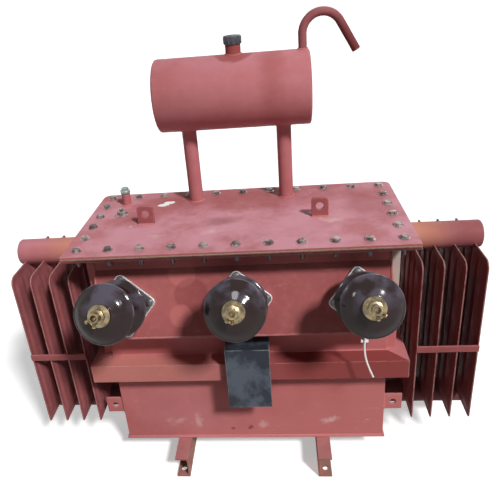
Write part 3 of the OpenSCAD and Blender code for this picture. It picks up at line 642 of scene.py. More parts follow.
def primer_finish(name, look, film=0, dust=0, veil=0, old=0, scuffs=0, soil=0, marks=None):
    """Sprayed primer: cloudy coats, dark patches, dry film, dust, marks, scuffs, edges rubbed pale and partly
    painted as highlights, and mud.
    """
    f = Finish(name, specular=0.10)
    tone = f.mix(f.step(f.noise(3.1, 4, 0.55), 0.34, 0.66), look.primer_deep, look.primer)
    patches = f.times(f.step(f.noise(6.3, 3, 0.45), 0.56, 0.64), f.step(f.noise(19, 4), 0.3, 0.7, 0.2, 0.5))
    tone = f.mix(patches, tone, look.dark_primer_and_shade)
    if old:
        tone = f.mix(f.step(f.noise(8, 4), 0.25, 0.7, old, 0.7 * old), tone, look.dark_primer_and_shade)
    if film:
        tone = f.mix(f.times(f.step(f.noise(2.2, 5, 0.6), 0.30, 0.60, 0.35, 1.0), film), tone, look.film)
    tone = f.mix(f.step(f.noise(46, 5, 0.62), 0.44, 0.72, 0, 0.22), tone, look.film)
    if veil:
        tone = f.mix(f.step(f.noise(5, 5, 0.6), 0.30, 0.65, 0.5 * veil, veil), tone, look.dust)
    if dust:
        drift = f.step(f.noise(7, 6, 0.62), 0.34, 0.60, 0.30, 1.0)
        tone = f.mix(f.times(f.facing_up(), drift, dust), tone, look.dust)
    for mark in marks(look) if marks else ():
        tone = f.mix(f.times(f.near(mark), mark.share), tone, mark.tone)
    if scuffs:
        fine = f.noise(21, 7, 0.72, stretch=(1, 1, 3.2), turn=(0.5, 0.4, 0.6))
        streaks = f.times(f.step(fine, 0.60, 0.70), f.step(f.noise(4.2, 2), 0.47, 0.60), scuffs)
        tone = f.mix(streaks, tone, look.scuff)
    # Edges rubbed pale, which also serve as painted highlights along the edges.
    edge_wear_and_highlight = f.times(f.edge(0.0030), f.step(f.noise(33, 5, 0.65), 0.34, 0.52), 0.85)
    tone = f.mix(edge_wear_and_highlight, tone, look.worn_and_highlit)
    if soil:
        rise = f.step(f.axis(f.place, "Z"), 0.12, 0.02)
        tone = f.mix(f.times(rise, f.step(f.noise(24, 5, 0.6), 0.26, 0.58), soil), tone, look.soil)
    sheen = f.step(f.noise(27, 3), 0.25, 0.75, 0.48, 0.70)
    grain = f.calc("ADD", f.noise(420, 3, 0.6), f.times(f.noise(60, 2), 1.6))
    f.done(tone, sheen, grain, 0.00022)


def tank_marks(look):
    """Scuffs, specks and pale or dark patches of the tank front."""
    wall_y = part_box("front_wall")[0].y
    wide = (0.45, 1, 1)
    return [
        Mark(look.film, 0.30, (-0.218, -0.177, 0.605), 0.085, 0.5, 0.55),
        Mark(look.film, 0.60, (-0.155, -0.145, 0.665), 0.040, 0.2, 0.12),
        Mark(look.dark_primer_and_shade, 0.38, (-0.132, -0.173, 0.614), 0.050, 0.15, 0.08),
        Mark(look.film, 0.55, (-0.162, -0.197, 0.565), 0.034, 0.2, 0.12),
        Mark(look.film, 0.45, (0.240, -0.140, 0.682), 0.040, 0.9, 0.12, wide),
        Mark(look.dust, 0.16, (-0.200, wall_y, 0.200), 0.150, 0.4, 0.6, (0.8, 1, 1)),
        Mark(look.scuff, 0.36, (-0.168, wall_y, 0.143), 0.050, 1.45, 0.35, (1.6, 1, 0.75)),
        Mark(look.scuff, 0.42, (0.237, wall_y, 0.139), 0.040, 1.35, 0.25, (0.8, 1, 1.3)),
        Mark(look.scuff, 0.25, (-0.235, wall_y, 0.140), 0.040, 1.6, 0.3, wide),
        Mark(look.dark_primer_and_shade, 0.8, (-0.005, wall_y, 0.113), 0.017, 1.2, 0.2),
        Mark(look.dark_primer_and_shade, 0.7, (-0.060, wall_y, 0.109), 0.013, 1.4, 0.2),
        Mark(look.scuff, 0.30, (0.035, wall_y, 0.125), 0.030, 1.4, 0.3),
        Mark(look.bare, 0.9, (0.421, -0.128, 0.655), 0.050, 0.4, 0.2, (1.6, 1, 0.62)),
    ]


def belt_marks(look):
    """Orange coat on the left of the belt, and a deep coat on the right, darkened further by painted shade.
    """
    low, high, mid, _ = spans("belt_front")
    left, right = (low.x, low.y, mid.z), (high.x, low.y, mid.z)
    return [
        Mark(look.ochre, 0.28, left, 0.42, 0.4, 0.5),
        Mark(look.primer_deep, 1.0, right, 0.46, 0.3, 0.3),
        # Painted shade in part: this dark primer also stands for the shadow of the pocket and bushings on the
        # belt top.
        Mark(look.dark_primer_and_shade, 0.35, right, 0.46, 0.3, 0.3),
    ]


def header_marks(look):
    """Dark far end of the upper right header pipe, orange tank ends of both upper ones, and painted shade on
    the lower ones.
    """
    low, high, mid, _ = spans("right_upper_header")
    lower = spans("right_lower_header")[2]
    orange_x = low.x + 0.055
    squat = (1, 0.6, 0.6)
    sides = (-1, 1)
    return [
        Mark(look.dark_primer_and_shade, 0.55, (high.x, mid.y, high.z), 0.17, 0.3, 0.6, squat),
        *(Mark(look.ochre, 0.9, (side * orange_x, mid.y, high.z), 0.11, 0.5, 0.7, squat) for side in sides),
        # Painted shade on the lower header pipes, which lie in shadow between the fins and the tank.
        *(Mark(look.primer_painted_shade, 0.8, (side * lower.x, mid.y, lower.z), 0.30, 0.2, 0.2) for side in sides),
    ]


def rim_shade_marks(look):
    """Painted shade along the front rim, standing for the shadow of the lid."""
    return [Mark(look.primer_painted_shade, 0.85, spans("flange_front")[2], 0.52, 0.3, 0.2)]


def fin_shade_marks(look):
    """Painted shade on the right bank of fins, whose faces seen from the front lie in shadow."""
    return [Mark(look.dark_primer_and_shade, 0.70, spans("right_fins")[2], 0.60, 0.2, 0.2)]


def drum_marks(look):
    """Darker patch round the filler neck and on its top, and a dim band beside it."""
    _, neck_top, neck, _ = spans("filler_neck")
    low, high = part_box("conservator_ends")
    return [
        Mark(look.primer_deep, 0.75, (neck.x, neck.y, high.z), 0.062, 0.25, 0.10),
        Mark(look.primer_deep, 0.45, (0.5 * high.x, low.y, high.z), 0.040, 0.6, 0.6, (1, 0.15, 0.15)),
        Mark(look.primer_deep, 0.8, (neck.x, neck.y, neck_top.z), 0.030, 0.2, 0.3, (1, 1, 0.7)),
    ]


def hook_marks(look):
    """Darker far end of the breather tail."""
    low, high, mid, _ = spans("breather_tail")
    return [Mark(look.dark_primer_and_shade, 0.85, (high.x, mid.y, low.z), 0.13, 0.4, 0.4)]


def lid_marks(look):
    """White splash, dark smudges, a darker band along the back and pale rubbed places on the lid."""
    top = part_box("lid")[1].z
    return [
        # Darker band along the back of the lid, under the drum.
        Mark(look.primer_deep, 0.75, (0.0, 0.16, top), 0.14, 0.7, 0.5, (0.28, 1, 1)),
        Mark(look.dark_primer_and_shade, 0.45, (-0.051, -0.031, top), 0.045, 0.8, 0.4, (0.7, 1, 1)),
        Mark(look.primer_deep, 0.6, (0.36, 0.06, top), 0.11, 0.8, 0.5, (1, 0.7, 1)),
        Mark(look.primer_deep, 0.5, (-0.30, 0.0, top), 0.07, 0.9, 0.5, (0.8, 1, 1)),
        Mark(look.scuff, 0.40, (0.255, -0.055, top), 0.060, 1.8, 0.3, (0.5, 1, 1)),
        Mark(look.scuff, 0.35, (-0.05, -0.10, top), 0.080, 1.9, 0.3, (0.4, 1, 1)),
        Mark(look.scuff, 0.30, (-0.23, -0.11, top), 0.060, 1.9, 0.3, (0.6, 1, 1)),
        Mark(look.splash, 1.0, (-0.242, 0.108, top), 0.022, 1.0, 0.08, (0.85, 1.2, 1)),
        Mark(look.splash, 1.0, (-0.231, 0.119, top), 0.024, 1.0, 0.08, (1.1, 0.9, 1)),
        Mark(look.splash, 1.0, (-0.221, 0.128, top), 0.025, 1.0, 0.08, (0.85, 1.3, 1)),
    ]


def porcelain_finish(look):
    """Dark glaze with a painted highlight along the upper side of the shed rims, under an uneven film of
    dust.
    """
    f = Finish("glaze", specular=0.22)
    rim = f.node("Attribute")
    rim.attribute_name = "rim"
    film = f.times(f.facing_up(0.20, 0.75), f.step(f.noise(17, 4, 0.5), 0.40, 0.60, 0.0, 0.95))
    tone = f.mix(film, look.porcelain, look.porcelain_film)
    # Painted highlight on the upper side of the shed rims.
    rim_highlight = f.times(rim.outputs["Fac"], f.step(f.noise(45, 3), 0.38, 0.62, 0.1, 0.9), f.facing_up(-0.3, 0.5))
    tone = f.mix(rim_highlight, tone, look.porcelain_rim)
    gloss = f.step(f.noise(31, 5, 0.65), 0.30, 0.75, 0.06, 0.18)
    f.done(tone, gloss, f.noise(75, 2), 0.00012)


def metal_finish(name, bright, dull, low, high, gloss, metallic=1.0):
    """Bare metal with a dull skin in patches, duller away from its rubbed edges."""
    f = Finish(name, metallic=metallic)
    skin = f.step(f.noise(55, 5, 0.6), low, high)
    skin = f.times(skin, f.calc("SUBTRACT", 1.0, f.times(f.edge(0.0018), 0.7)))
    tone = f.mix(skin, bright, dull)
    f.done(tone, f.step(f.noise(90, 4), 0.25, 0.75, gloss, gloss + 0.2), f.noise(300, 3), 0.0001)


def clamp_finish(look):
    """Cast ring with a face darkened by painted shade from the sheds, and bright side walls, the brightness
    lapping over the face edges.
    """
    f = Finish("cast_metal", metallic=0.35)
    side = f.step(f.axis(f.normal(), "Y"), -0.88, -0.70)
    bright = f.calc("MAXIMUM", side, f.edge(0.0055, 0.004, 0.04))
    bright = f.times(bright, f.step(f.noise(70, 4, 0.6), 0.28, 0.50, 0.45, 1.0))
    # Painted shade on the ring face; the side walls and edges show rubbed metal.
    tone = f.mix(bright, look.cast_metal_shade, look.aluminium)
    f.done(tone, f.step(f.noise(90, 4), 0.25, 0.75, 0.30, 0.5), f.noise(420, 3), 0.00025)


def slate_finish(look):
    """Dark paint with smeared dust, thin scratches and rubbed edges."""
    f = Finish("slate_paint", specular=0.2)
    smear = f.step(f.noise(11, 6, 0.62, stretch=(1.3, 1, 1)), 0.40, 0.62, 0.0, 1.0)
    tone = f.mix(smear, look.slate, look.slate_dust)
    scratch = f.step(f.noise(30, 6, 0.7, stretch=(4, 1, 0.8), turn=(0, 0.6, 0)), 0.64, 0.72, 0, 0.35)
    tone = f.mix(scratch, tone, look.slate_dust)
    rubbed = f.times(f.edge(0.004, 0.01, 0.10), f.step(f.noise(25, 4), 0.34, 0.54), 0.8)
    tone = f.mix(rubbed, tone, look.slate_worn)
    f.done(tone, f.step(f.noise(18, 4), 0.3, 0.7, 0.40, 0.65), f.noise(260, 3), 0.00015)


def cork_finish(look):
    """Pressed sheet of pale and dark crumbs."""
    f = Finish("cork_sheet", specular=0.2)
    tone = f.mix(f.step(f.noise(330, 4, 0.6), 0.45, 0.68), look.cork, look.cork_grain)
    f.done(tone, f.step(f.noise(200, 2), 0.2, 0.8, 0.75, 0.95), f.noise(380, 3), 0.0003)


def moulded_finish(name, body, pale, gloss):
    """Moulded fitting, rubbed pale along its edges."""
    f = Finish(name, specular=0.45)
    tone = f.mix(f.step(f.noise(70, 4, 0.6), 0.35, 0.72, 0, 0.35), body, pale)
    tone = f.mix(f.times(f.edge(0.002), 0.5), tone, pale)
    f.done(tone, f.step(f.noise(110, 3), 0.3, 0.7, gloss, gloss + 0.18), f.noise(350, 2), 0.00012)


PRIMERS = {
    "tank_primer": {"film": 0.95, "dust": 0.25, "veil": 0.08, "scuffs": 0.3, "marks": tank_marks},
    "belt_primer": {"film": 0.9, "veil": 0.18, "scuffs": 0.25, "marks": belt_marks},
    "panel_primer": {"film": 0.2, "veil": 0.06, "old": 0.55, "scuffs": 0.15, "marks": tank_marks},
    "lid_primer": {"film": 0.3, "dust": 0.90, "veil": 0.15, "scuffs": 0.5, "marks": lid_marks},
    "pipe_primer": {"film": 0.45, "dust": 0.3, "veil": 0.30, "scuffs": 0.1, "marks": drum_marks},
    "header_primer": {"film": 0.3, "dust": 0.3, "veil": 0.36, "scuffs": 0.1, "marks": header_marks},
    "hook_primer": {"dust": 0.1, "veil": 0.24, "old": 0.6, "scuffs": 0.1, "marks": hook_marks},
    # Painted shade: its marks darken the right bank of fins.
    "fin_primer": {"dust": 0.15, "veil": 0.16, "old": 0.65, "scuffs": 0.05, "marks": fin_shade_marks},
    # Painted shade: the front rim is darkened to stand for the shadow of the lid.
    "rim_primer": {"veil": 0.05, "old": 0.6, "scuffs": 0.1, "marks": rim_shade_marks},
    "brace_primer": {"film": 0.1, "dust": 0.1, "veil": 0.1, "old": 0.6, "scuffs": 0.2},
    "rail_primer": {"film": 0.3, "dust": 0.35, "scuffs": 0.5, "soil": 0.8},
}

SLOT_FINISHES = {
    "red_primer": "tank_primer",
    "cork": "cork_sheet",
    "dark_plate": "slate_paint",
    "cast_aluminium": "cast_metal",
    "porcelain": "glaze",
    "brass": "turned_brass",
    "dark_cap": "cap_moulding",
    "zinc": "plated_zinc",
    "white_nylon": "milky_nylon",
}

NODE_FINISHES = {
    "lid": "lid_primer",
    "rail_left": "rail_primer",
    "rail_right": "rail_primer",
    "left_braces": "brace_primer",
    "right_braces": "brace_primer",
    "lifting_lugs": "brace_primer",
    "hv_panel": "panel_primer",
    "belt_front": "belt_primer",
    "flange_front": "rim_primer",
}


class TRANSFORMER_OT_finishes(Operator):
    """Make the finishes, and give each plate of the frame its finish and its broken edges"""

    bl_idname = "transformer.finishes"
    bl_label = "Finishes and Plates"

    def execute(self, context):
        look = settings("finish")
        for name, coat in PRIMERS.items():
            primer_finish(name, look, **coat)
        porcelain_finish(look)
        clamp_finish(look)
        slate_finish(look)
        cork_finish(look)
        metal_finish("turned_brass", look.brass, look.brass_dull, 0.36, 0.62, 0.20)
        metal_finish("plated_zinc", look.zinc, look.zinc_dull, 0.38, 0.62, 0.34, metallic=0.5)
        # Painted shade: a dark copy of the zinc for the nuts under the rim and the clamp bolts behind the
        # sheds.
        metal_finish("dark_zinc", look.cast_metal_shade, look.zinc_dull, 0.38, 0.62, 0.34, metallic=0.5)
        metal_finish("galvanised", look.galvanised, look.zinc_dull, 0.45, 0.75, 0.38, metallic=0.6)
        moulded_finish("cap_moulding", look.cap, look.slate_dust, 0.34)
        moulded_finish("milky_nylon", look.nylon, look.splash, 0.36)
        for row in frame["record"]["subparts"]:
            node = row["node"]
            plate = frame["nodes"][node]
            finish = NODE_FINISHES.get(node, SLOT_FINISHES[row["material_slot"]])
            plate.data.materials.clear()
            plate.data.materials.append(bpy.data.materials[finish])
            self.break_edges(plate, look.gasket_edge if node == "lid_gasket" else look.edge)
        return {"FINISHED"}

    def break_edges(self, plate, width):
        """Joins the loose triangles of a plate, clears its flat faces and rounds its edges a little."""
        flat, sharp = math.radians(0.5), math.radians(40)
        self.modify(plate, "WELD", merge_threshold=PLATE_MERGE_DISTANCE)
        self.modify(plate, "DECIMATE", decimate_type="DISSOLVE", angle_limit=flat)
        self.modify(plate, "BEVEL", width=width, segments=2, limit_method="ANGLE", angle_limit=sharp)
        self.modify(plate, "WEIGHTED_NORMAL", keep_sharp=False)

    def modify(self, plate, kind, **values):
        """Adds a modifier with its values."""
        modifier = plate.modifiers.new(kind.lower(), kind)
        for name, value in values.items():
            setattr(modifier, name, value)


# Pieces


class TRANSFORMER_OT_cover_bolts(Operator):
    """Hexagon bolts and washers round the lid, with nuts and bolt ends under the rim"""

    bl_idname = "transformer.cover_bolts"
    bl_label = "Cover Bolts"

    def execute(self, context):
        size = settings("bolts")
        low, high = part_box("lid")
        rim_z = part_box("flange_front")[0].z
        xs = np.linspace(low.x + size.inset, high.x - size.inset, size.along)
        ys = np.linspace(low.y + size.inset, high.y - size.inset, size.across)
        spots = [(x, y) for x in xs for y in (ys[0], ys[-1])]
        spots += [(x, y) for x in (xs[0], xs[-1]) for y in ys[1:-1]]
        corner_r = size.flats / math.sqrt(3)
        washer = disc(size.washer, size.washer_t, sides=32)
        head = hexagon(corner_r, size.head)
        nut = hexagon(corner_r, size.nut)
        shank = rod(size.shank, size.washer_t + size.nut + size.shank_end, sides=18, bevel=size.bevel)
        down = Matrix.Rotation(math.pi, 4, "X")
        dice = np.random.default_rng(size.seed)
        above, below = [], []
        for x, y in spots:
            turn, under = dice.uniform(0, FULL_TURN, 2)
            above.append(at(washer, x, y, high.z))
            above.append(at(head, x, y, high.z + size.washer_t, turn))
            for part, drop in ((washer, 0), (nut, size.washer_t), (shank, 0)):
                below.append(at(moved(part, down), x, y, rim_z - drop, under))
        add_piece("cover_bolts", above, "plated_zinc")
        # The nuts under the rim take the zinc with painted shade.
        add_piece("cover_nuts", below, "dark_zinc")
        return {"FINISHED"}


def panel_places():
    """The three bushing places on the sloping panel, each with Z along the bushing axis."""
    size = settings("bushing")
    low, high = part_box("hv_panel")
    front_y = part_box("front_wall")[0].y
    lean = math.atan2(front_y - low.y, high.z - low.z)
    y = front_y - size.drop * math.sin(lean)
    z = high.z - size.drop * math.cos(lean)
    tilt = Matrix.Rotation(math.pi / 2 - lean, 4, "X")
    return [Matrix.Translation((x, y, z)) @ tilt for x in (-size.pitch, 0, size.pitch)]


class TRANSFORMER_OT_hv_bushings(Operator):
    """Three glazed bushings with two broad sheds each"""

    bl_idname = "transformer.hv_bushings"
    bl_label = "High-voltage Bushings"

    def execute(self, context):
        size = settings("bushing")
        body = lathe(self.profile(size), sides=96)
        for side, place in zip(("left", "centre", "right"), panel_places()):
            node = f"hv_bushing_{side}"
            part = moved(body, place)
            piece = add_piece(f"hv_porcelain_{side}", [part], "glaze", [node], sharp=60)
            self.mark_rims(piece, place, size)
        return {"FINISHED"}

    def profile(self, size):
        """Body, rear shed, hollow waist and front shed, with half-round rims and a domed front."""
        rim, rear, front = size.rim, size.rear_at, size.front_at
        lip = size.shed - rim
        flare = (lip - size.body) / 2
        back = [
            (size.body, 0),
            (size.body, rear - 2 * flare),
            (size.body + flare, rear - rim - flare / 3),
            (lip, rear - rim),
        ]
        waist = [
            (lip, rear + rim),
            (size.waist + flare, rear + 2 * rim + flare / 2),
            (size.waist, rear + 4 * flare),
            (size.waist, front - 3 * flare),
            (size.waist + flare, front - rim - flare / 2),
            (lip, front - rim),
        ]
        dome = [
            (lip, front + rim),
            ((lip + size.cap) / 2 + rim, (front + size.reach) / 2 + rim),
            (size.cap + rim, size.reach - rim / 2),
            (size.cap, size.reach),
            (0, size.reach),
        ]
        rear_rim, front_rim = (arc((lip, height), rim, -90, 90) for height in (rear, front))
        return np.concatenate([[(0, 0)], eased(back), rear_rim, eased(waist), front_rim, eased(dome)])

    def mark_rims(self, piece, place, size):
        """Writes how near each point lies to the outer rim of a shed: the smooth step of its reach over
        the last half of the rim."""
        points = np.empty(len(piece.data.vertices) * 3)
        piece.data.vertices.foreach_get("co", points)
        local, _ = moved((points.reshape(-1, 3), None), place.inverted())
        reach = np.hypot(local[:, 0], local[:, 1])
        mark = smooth((reach - (size.shed - 0.5 * size.rim)) / (0.45 * size.rim))
        values = piece.data.attributes.new("rim", "FLOAT", "POINT").data
        values.foreach_set("value", mark.astype(np.float32))


# Places of the two screws round each terminal, in degrees
SCREW_TURNS = ((205, 265), (232, 268), (325, 275))


class TRANSFORMER_OT_hv_terminals(Operator):
    """Brass caps with a nut, a socket stem and two clamp screws on each bushing"""

    bl_idname = "transformer.hv_terminals"
    bl_label = "High-voltage Terminals"

    def execute(self, context):
        size = settings("bushing")
        parts = []
        for place, turns in zip(panel_places(), SCREW_TURNS):
            outward = place @ Matrix.Translation((0, 0, size.reach))
            parts += [moved(part, outward) for part in self.terminal(size, turns)]
        add_piece("hv_brass_terminals", parts, "turned_brass", ["hv_terminals"])
        return {"FINISHED"}

    def terminal(self, size, turns):
        """Cap, nut, hollow stem and screws, standing on the porcelain along Z."""
        nut_z = size.cap_h + size.shoulder
        stem_z = nut_z + size.nut_h
        end_z = stem_z + size.stem_len
        bevel = size.bevel
        cap = [
            (0, 0),
            (size.cap, 0),
            (size.cap, size.cap_h - bevel),
            (size.cap - bevel, size.cap_h),
            (size.nut + bevel, nut_z - bevel),
            (size.nut, nut_z),
            (0, nut_z),
        ]
        stem = [
            (0, stem_z),
            (size.stem, stem_z),
            (size.stem, end_z - bevel),
            (size.stem - bevel, end_z),
            (size.bore + bevel, end_z),
            (size.bore, end_z - bevel),
            (size.bore, end_z - size.bore_depth),
            (0, end_z - size.bore_depth),
        ]
        nut = at(hexagon(size.nut, size.nut_h, corners=8, sides=48), 0, 0, nut_z)
        start = (size.stem + size.bore) / 2
        screw = self.screw(size, size.stem + size.screw_len - start)
        lie_out = Matrix.Translation((start, 0, 0)) @ Matrix.Rotation(math.pi / 2, 4, "Y")
        middle = stem_z + size.stem_len / 2
        screws = [at(moved(screw, lie_out), 0, 0, middle, math.radians(turn)) for turn in turns]
        return [lathe(cap, sides=64), nut, lathe(stem, sides=40), *screws]

    def screw(self, size, run):
        """Screw up Z whose radius falls by the thread depth at every second row, with a plain end."""
        rows = np.linspace(0, run - size.screw_plain, size.thread_rows)
        thread = [(size.screw - size.thread * (i % 2), z) for i, z in enumerate(rows)]
        end = [(size.screw, run - size.screw_bevel), (size.screw - size.screw_bevel, run), (0, run)]
        return lathe([(0, 0), *thread, *end], sides=20)


class TRANSFORMER_OT_clamp_bolts(Operator):
    """Bolts on the four ears of each bushing clamp"""

    bl_idname = "transformer.clamp_bolts"
    bl_label = "Clamp Bolts"

    def execute(self, context):
        bolts = settings("bolts")
        face_z = settings("bushing").clamp_t
        head = hexagon(bolts.clamp_flats / math.sqrt(3), bolts.clamp_head)
        washer = disc(bolts.clamp_washer, bolts.washer_t, sides=28)
        dice = np.random.default_rng(bolts.clamp_seed)
        parts = []
        for place in panel_places():
            for ear in range(4):
                turn = bolts.clamp_first + ear * math.pi / 2
                x = bolts.clamp_ear * math.cos(turn)
                y = bolts.clamp_ear * math.sin(turn)
                spin = dice.uniform(0, FULL_TURN)
                parts.append(moved(at(washer, x, y, face_z), place))
                parts.append(moved(at(head, x, y, face_z + bolts.washer_t, spin), place))
        # The clamp bolts take the zinc with painted shade.
        add_piece("clamp_bolts", parts, "dark_zinc")
        return {"FINISHED"}


class TRANSFORMER_OT_low_side(Operator):
    """Four small glazed bushings with brass studs on the back"""

    bl_idname = "transformer.low_side"
    bl_label = "Low-voltage Bushings"

    def execute(self, context):
        size = settings("low_side")
        low, high, mid, _ = spans("lv_bushings")
        xs = np.linspace(low.x + size.shed, high.x - size.shed, size.number)
        places = [Matrix.Translation((x, low.y, mid.z)) @ Matrix.Rotation(-math.pi / 2, 4, "X") for x in xs]
        body = lathe(self.profile(size, settings("bushing").rim), sides=64)
        stud = at(rod(size.stud, size.stud_len, sides=28, bevel=size.stud_bevel), 0, 0, size.reach)
        nut = hexagon(size.nut, size.nut_h)
        nuts = [at(nut, 0, 0, size.reach + lift) for lift in (0, 2 * size.nut_h)]
        bodies = [moved(body, place) for place in places]
        studs = [moved(part, place) for place in places for part in (stud, *nuts)]
        piece = add_piece("lv_porcelain", bodies, "glaze", ["lv_bushings"], sharp=60)
        piece.data.attributes.new("rim", "FLOAT", "POINT")
        add_piece("lv_studs", studs, "turned_brass", ["lv_terminals"])
        return {"FINISHED"}

    def profile(self, size, rim):
        """Body, neck, one shed with a half-round rim, and a crown that falls from the stud."""
        lip = size.shed - rim
        foot = [
            (size.body, 0),
            (size.body, size.body_h),
            (size.neck, size.body_h + rim),
            (size.neck, size.shed_at - rim - (lip - size.neck) / 2),
            (lip, size.shed_at - rim),
        ]
        crown = [
            (lip, size.shed_at + rim),
            (size.stud + rim + size.nut_h / 2, size.reach - rim / 5),
            (size.stud + rim, size.reach),
            (0, size.reach),
        ]
        shed = arc((lip, size.shed_at), rim, -90, 90)
        return np.concatenate([[(0, 0)], eased(foot), shed, eased(crown)])


class TRANSFORMER_OT_headers(Operator):
    """Header pipes with closed, rounded ends"""

    bl_idname = "transformer.headers"
    bl_label = "Header Pipes"

    def execute(self, context):
        size = settings("radiator")
        edge = size.header_edge
        for height in ("upper", "lower"):
            low, _, mid, box = spans(f"right_{height}_header")
            end = arc((size.header - edge, box.x - edge), edge, 0, 90)
            pipe = lathe(np.concatenate([[(0, 0), (size.header, 0)], end, [(0, box.x)]]), sides=72)
            pipe = along_x(pipe, low.x, mid.y, mid.z)
            for side, part in (("right", pipe), ("left", mirrored(pipe))):
                header = f"{side}_{height}_header"
                add_piece(f"{side}_{height}_pipe", [part], "header_primer", [header])
        return {"FINISHED"}


class TRANSFORMER_OT_fins(Operator):
    """Pressed and fluted radiator fins"""

    bl_idname = "transformer.fins"
    bl_label = "Radiator Fins"

    def execute(self, context):
        size = settings("radiator")
        low, high, mid, box = spans("right_fins")
        xs = np.linspace(low.x + size.thick / 2, high.x - size.thick / 2, size.fins)
        one = self.fin(size, box.y, low.z, high.z, mid.y)
        bank = [at(one, x, 0, 0) for x in xs]
        add_piece("right_pressed_fins", bank, "fin_primer", ["right_fins"])
        bank = [mirrored(part) for part in bank]
        add_piece("left_pressed_fins", bank, "fin_primer", ["left_fins"])
        return {"FINISHED"}

    def fin(self, size, width, low_z, high_z, middle_y):
        """Section round the fin carried up Z. The front and back edges are cut back on circles at the
        corners. The thickness rises from the seam to valleys and flutes, and fades to the seam at both
        ends."""
        rows, columns = 81, 91
        up = (1 - np.cos(np.linspace(0, math.pi, rows))) / 2
        z = low_z + (high_z - low_z) * up
        from_end = np.minimum(z - low_z, high_z - z)

        def cut(depth, radius):
            """Set-back of a round corner: r - sqrt(r^2 - (r - depth)^2)."""
            into = np.clip(radius - depth, 0, radius)
            return radius - np.sqrt(radius**2 - into**2)

        front = width / 2 - cut(high_z - z, size.corner) - cut(z - low_z, size.small_corner)
        back = width / 2 - cut(from_end, size.small_corner)
        s = np.linspace(-1, 1, columns)
        y = np.where(s < 0, front[:, None], back[:, None]) * s
        fluted = width - 2 * size.seam_w
        phase = (y + fluted / 2) / (fluted / size.flutes) % 1
        flute = smooth((0.5 - np.abs(phase - 0.5)) / size.flank)
        inside = smooth((fluted / 2 - np.abs(y)) / size.shoulder)
        fade = smooth((from_end - size.seam_w) / (size.pinch - size.seam_w))[:, None]
        full = size.valley + (size.thick - size.valley) * flute
        thick = size.seam + (full - size.seam) * inside * fade
        rise = np.broadcast_to(z[:, None], y.shape)
        near = np.stack([thick / 2, middle_y + y, rise], axis=-1)
        far = np.stack([-thick / 2, middle_y + y, rise], axis=-1)[:, ::-1]
        grid = np.concatenate([near, far], axis=1)
        pressed = (0, 1, 1)
        return surface(np.concatenate([grid[:1] * pressed, grid, grid[-1:] * pressed]))


class TRANSFORMER_OT_conservator(Operator):
    """Conservator drum with dished ends, on two pipe legs"""

    bl_idname = "transformer.conservator"
    bl_label = "Conservator"

    def execute(self, context):
        size = settings("drum")
        _, _, mid, box = spans("conservator_ends")
        drum_r = box.z / 2
        end = self.dished_end(drum_r, box.x / 2, size.dish)
        drum = along_x(lathe(np.concatenate([end[::-1] * (1, -1), end]), sides=112), *mid)
        ends = ["conservator_shell", "conservator_ends"]
        add_piece("conservator_drum", [drum], "pipe_primer", ends)
        foot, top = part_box("conservator_legs")
        leg = rod(size.leg, mid.z - size.leg_end * drum_r - foot.z, sides=56)
        legs = [at(leg, x, mid.y, foot.z) for x in (foot.x + size.leg, top.x - size.leg)]
        add_piece("drum_legs", legs, "pipe_primer", ["conservator_legs"])
        return {"FINISHED"}

    def dished_end(self, radius, half, dish):
        """Eased profile from the drum wall over a tight knuckle to the crown of the dish."""
        return eased(
            [
                (radius, half - dish),
                (radius - dish / 8, half - 0.65 * dish),
                (0.94 * radius, half - 0.25 * dish),
                (0.72 * radius, half - 0.1 * dish),
                (0, half),
            ]
        )


# Filler cap rows, from its foot to the middle of its top: parts of the radius, the height and the rib depth
CAP_ROWS = (
    (0, 0, 0),
    (1, 0, 0),
    (1, 0.04, 0),
    (1, 0.10, 1),
    (1, 0.80, 1),
    (1, 0.90, 0.4),
    (1, 0.95, 0),
    (0.97, 0.99, 0),
    (0.94, 1.0, 0),
    (0.62, 1.0, 0),
    (0.58, 0.96, 0),
    (0, 0.95, 0),
)


class TRANSFORMER_OT_filler(Operator):
    """Filler neck and its ribbed cap"""

    bl_idname = "transformer.filler"
    bl_label = "Filler"

    def execute(self, context):
        size = settings("drum")
        low, _, mid, box = spans("filler_neck")
        neck = rod(size.neck, box.z, sides=56, bevel=size.lip)
        neck = at(neck, mid.x, mid.y, low.z)
        add_piece("filler_pipe", [neck], "pipe_primer", ["filler_neck"])
        low, _, _, box = spans("filler_cap")
        cap = at(self.cap(size, box.x / 2, box.z), mid.x, mid.y, low.z)
        add_piece("ribbed_cap", [cap], "cap_moulding", ["filler_cap"], sharp=50)
        return {"FINISHED"}

    def cap(self, size, radius, height):
        """Cap whose radius swells at each rib, with a rounded shoulder and a shallow hollow on top."""
        turn = round_turn(144)
        wave = smooth(0.5 + 1.4 * np.cos(size.ribs * turn))
        reach, rise, ribbed = np.array(CAP_ROWS).T[:, :, None]
        return turned((radius - size.rib) * reach + size.rib * ribbed * wave, turn, height * rise)


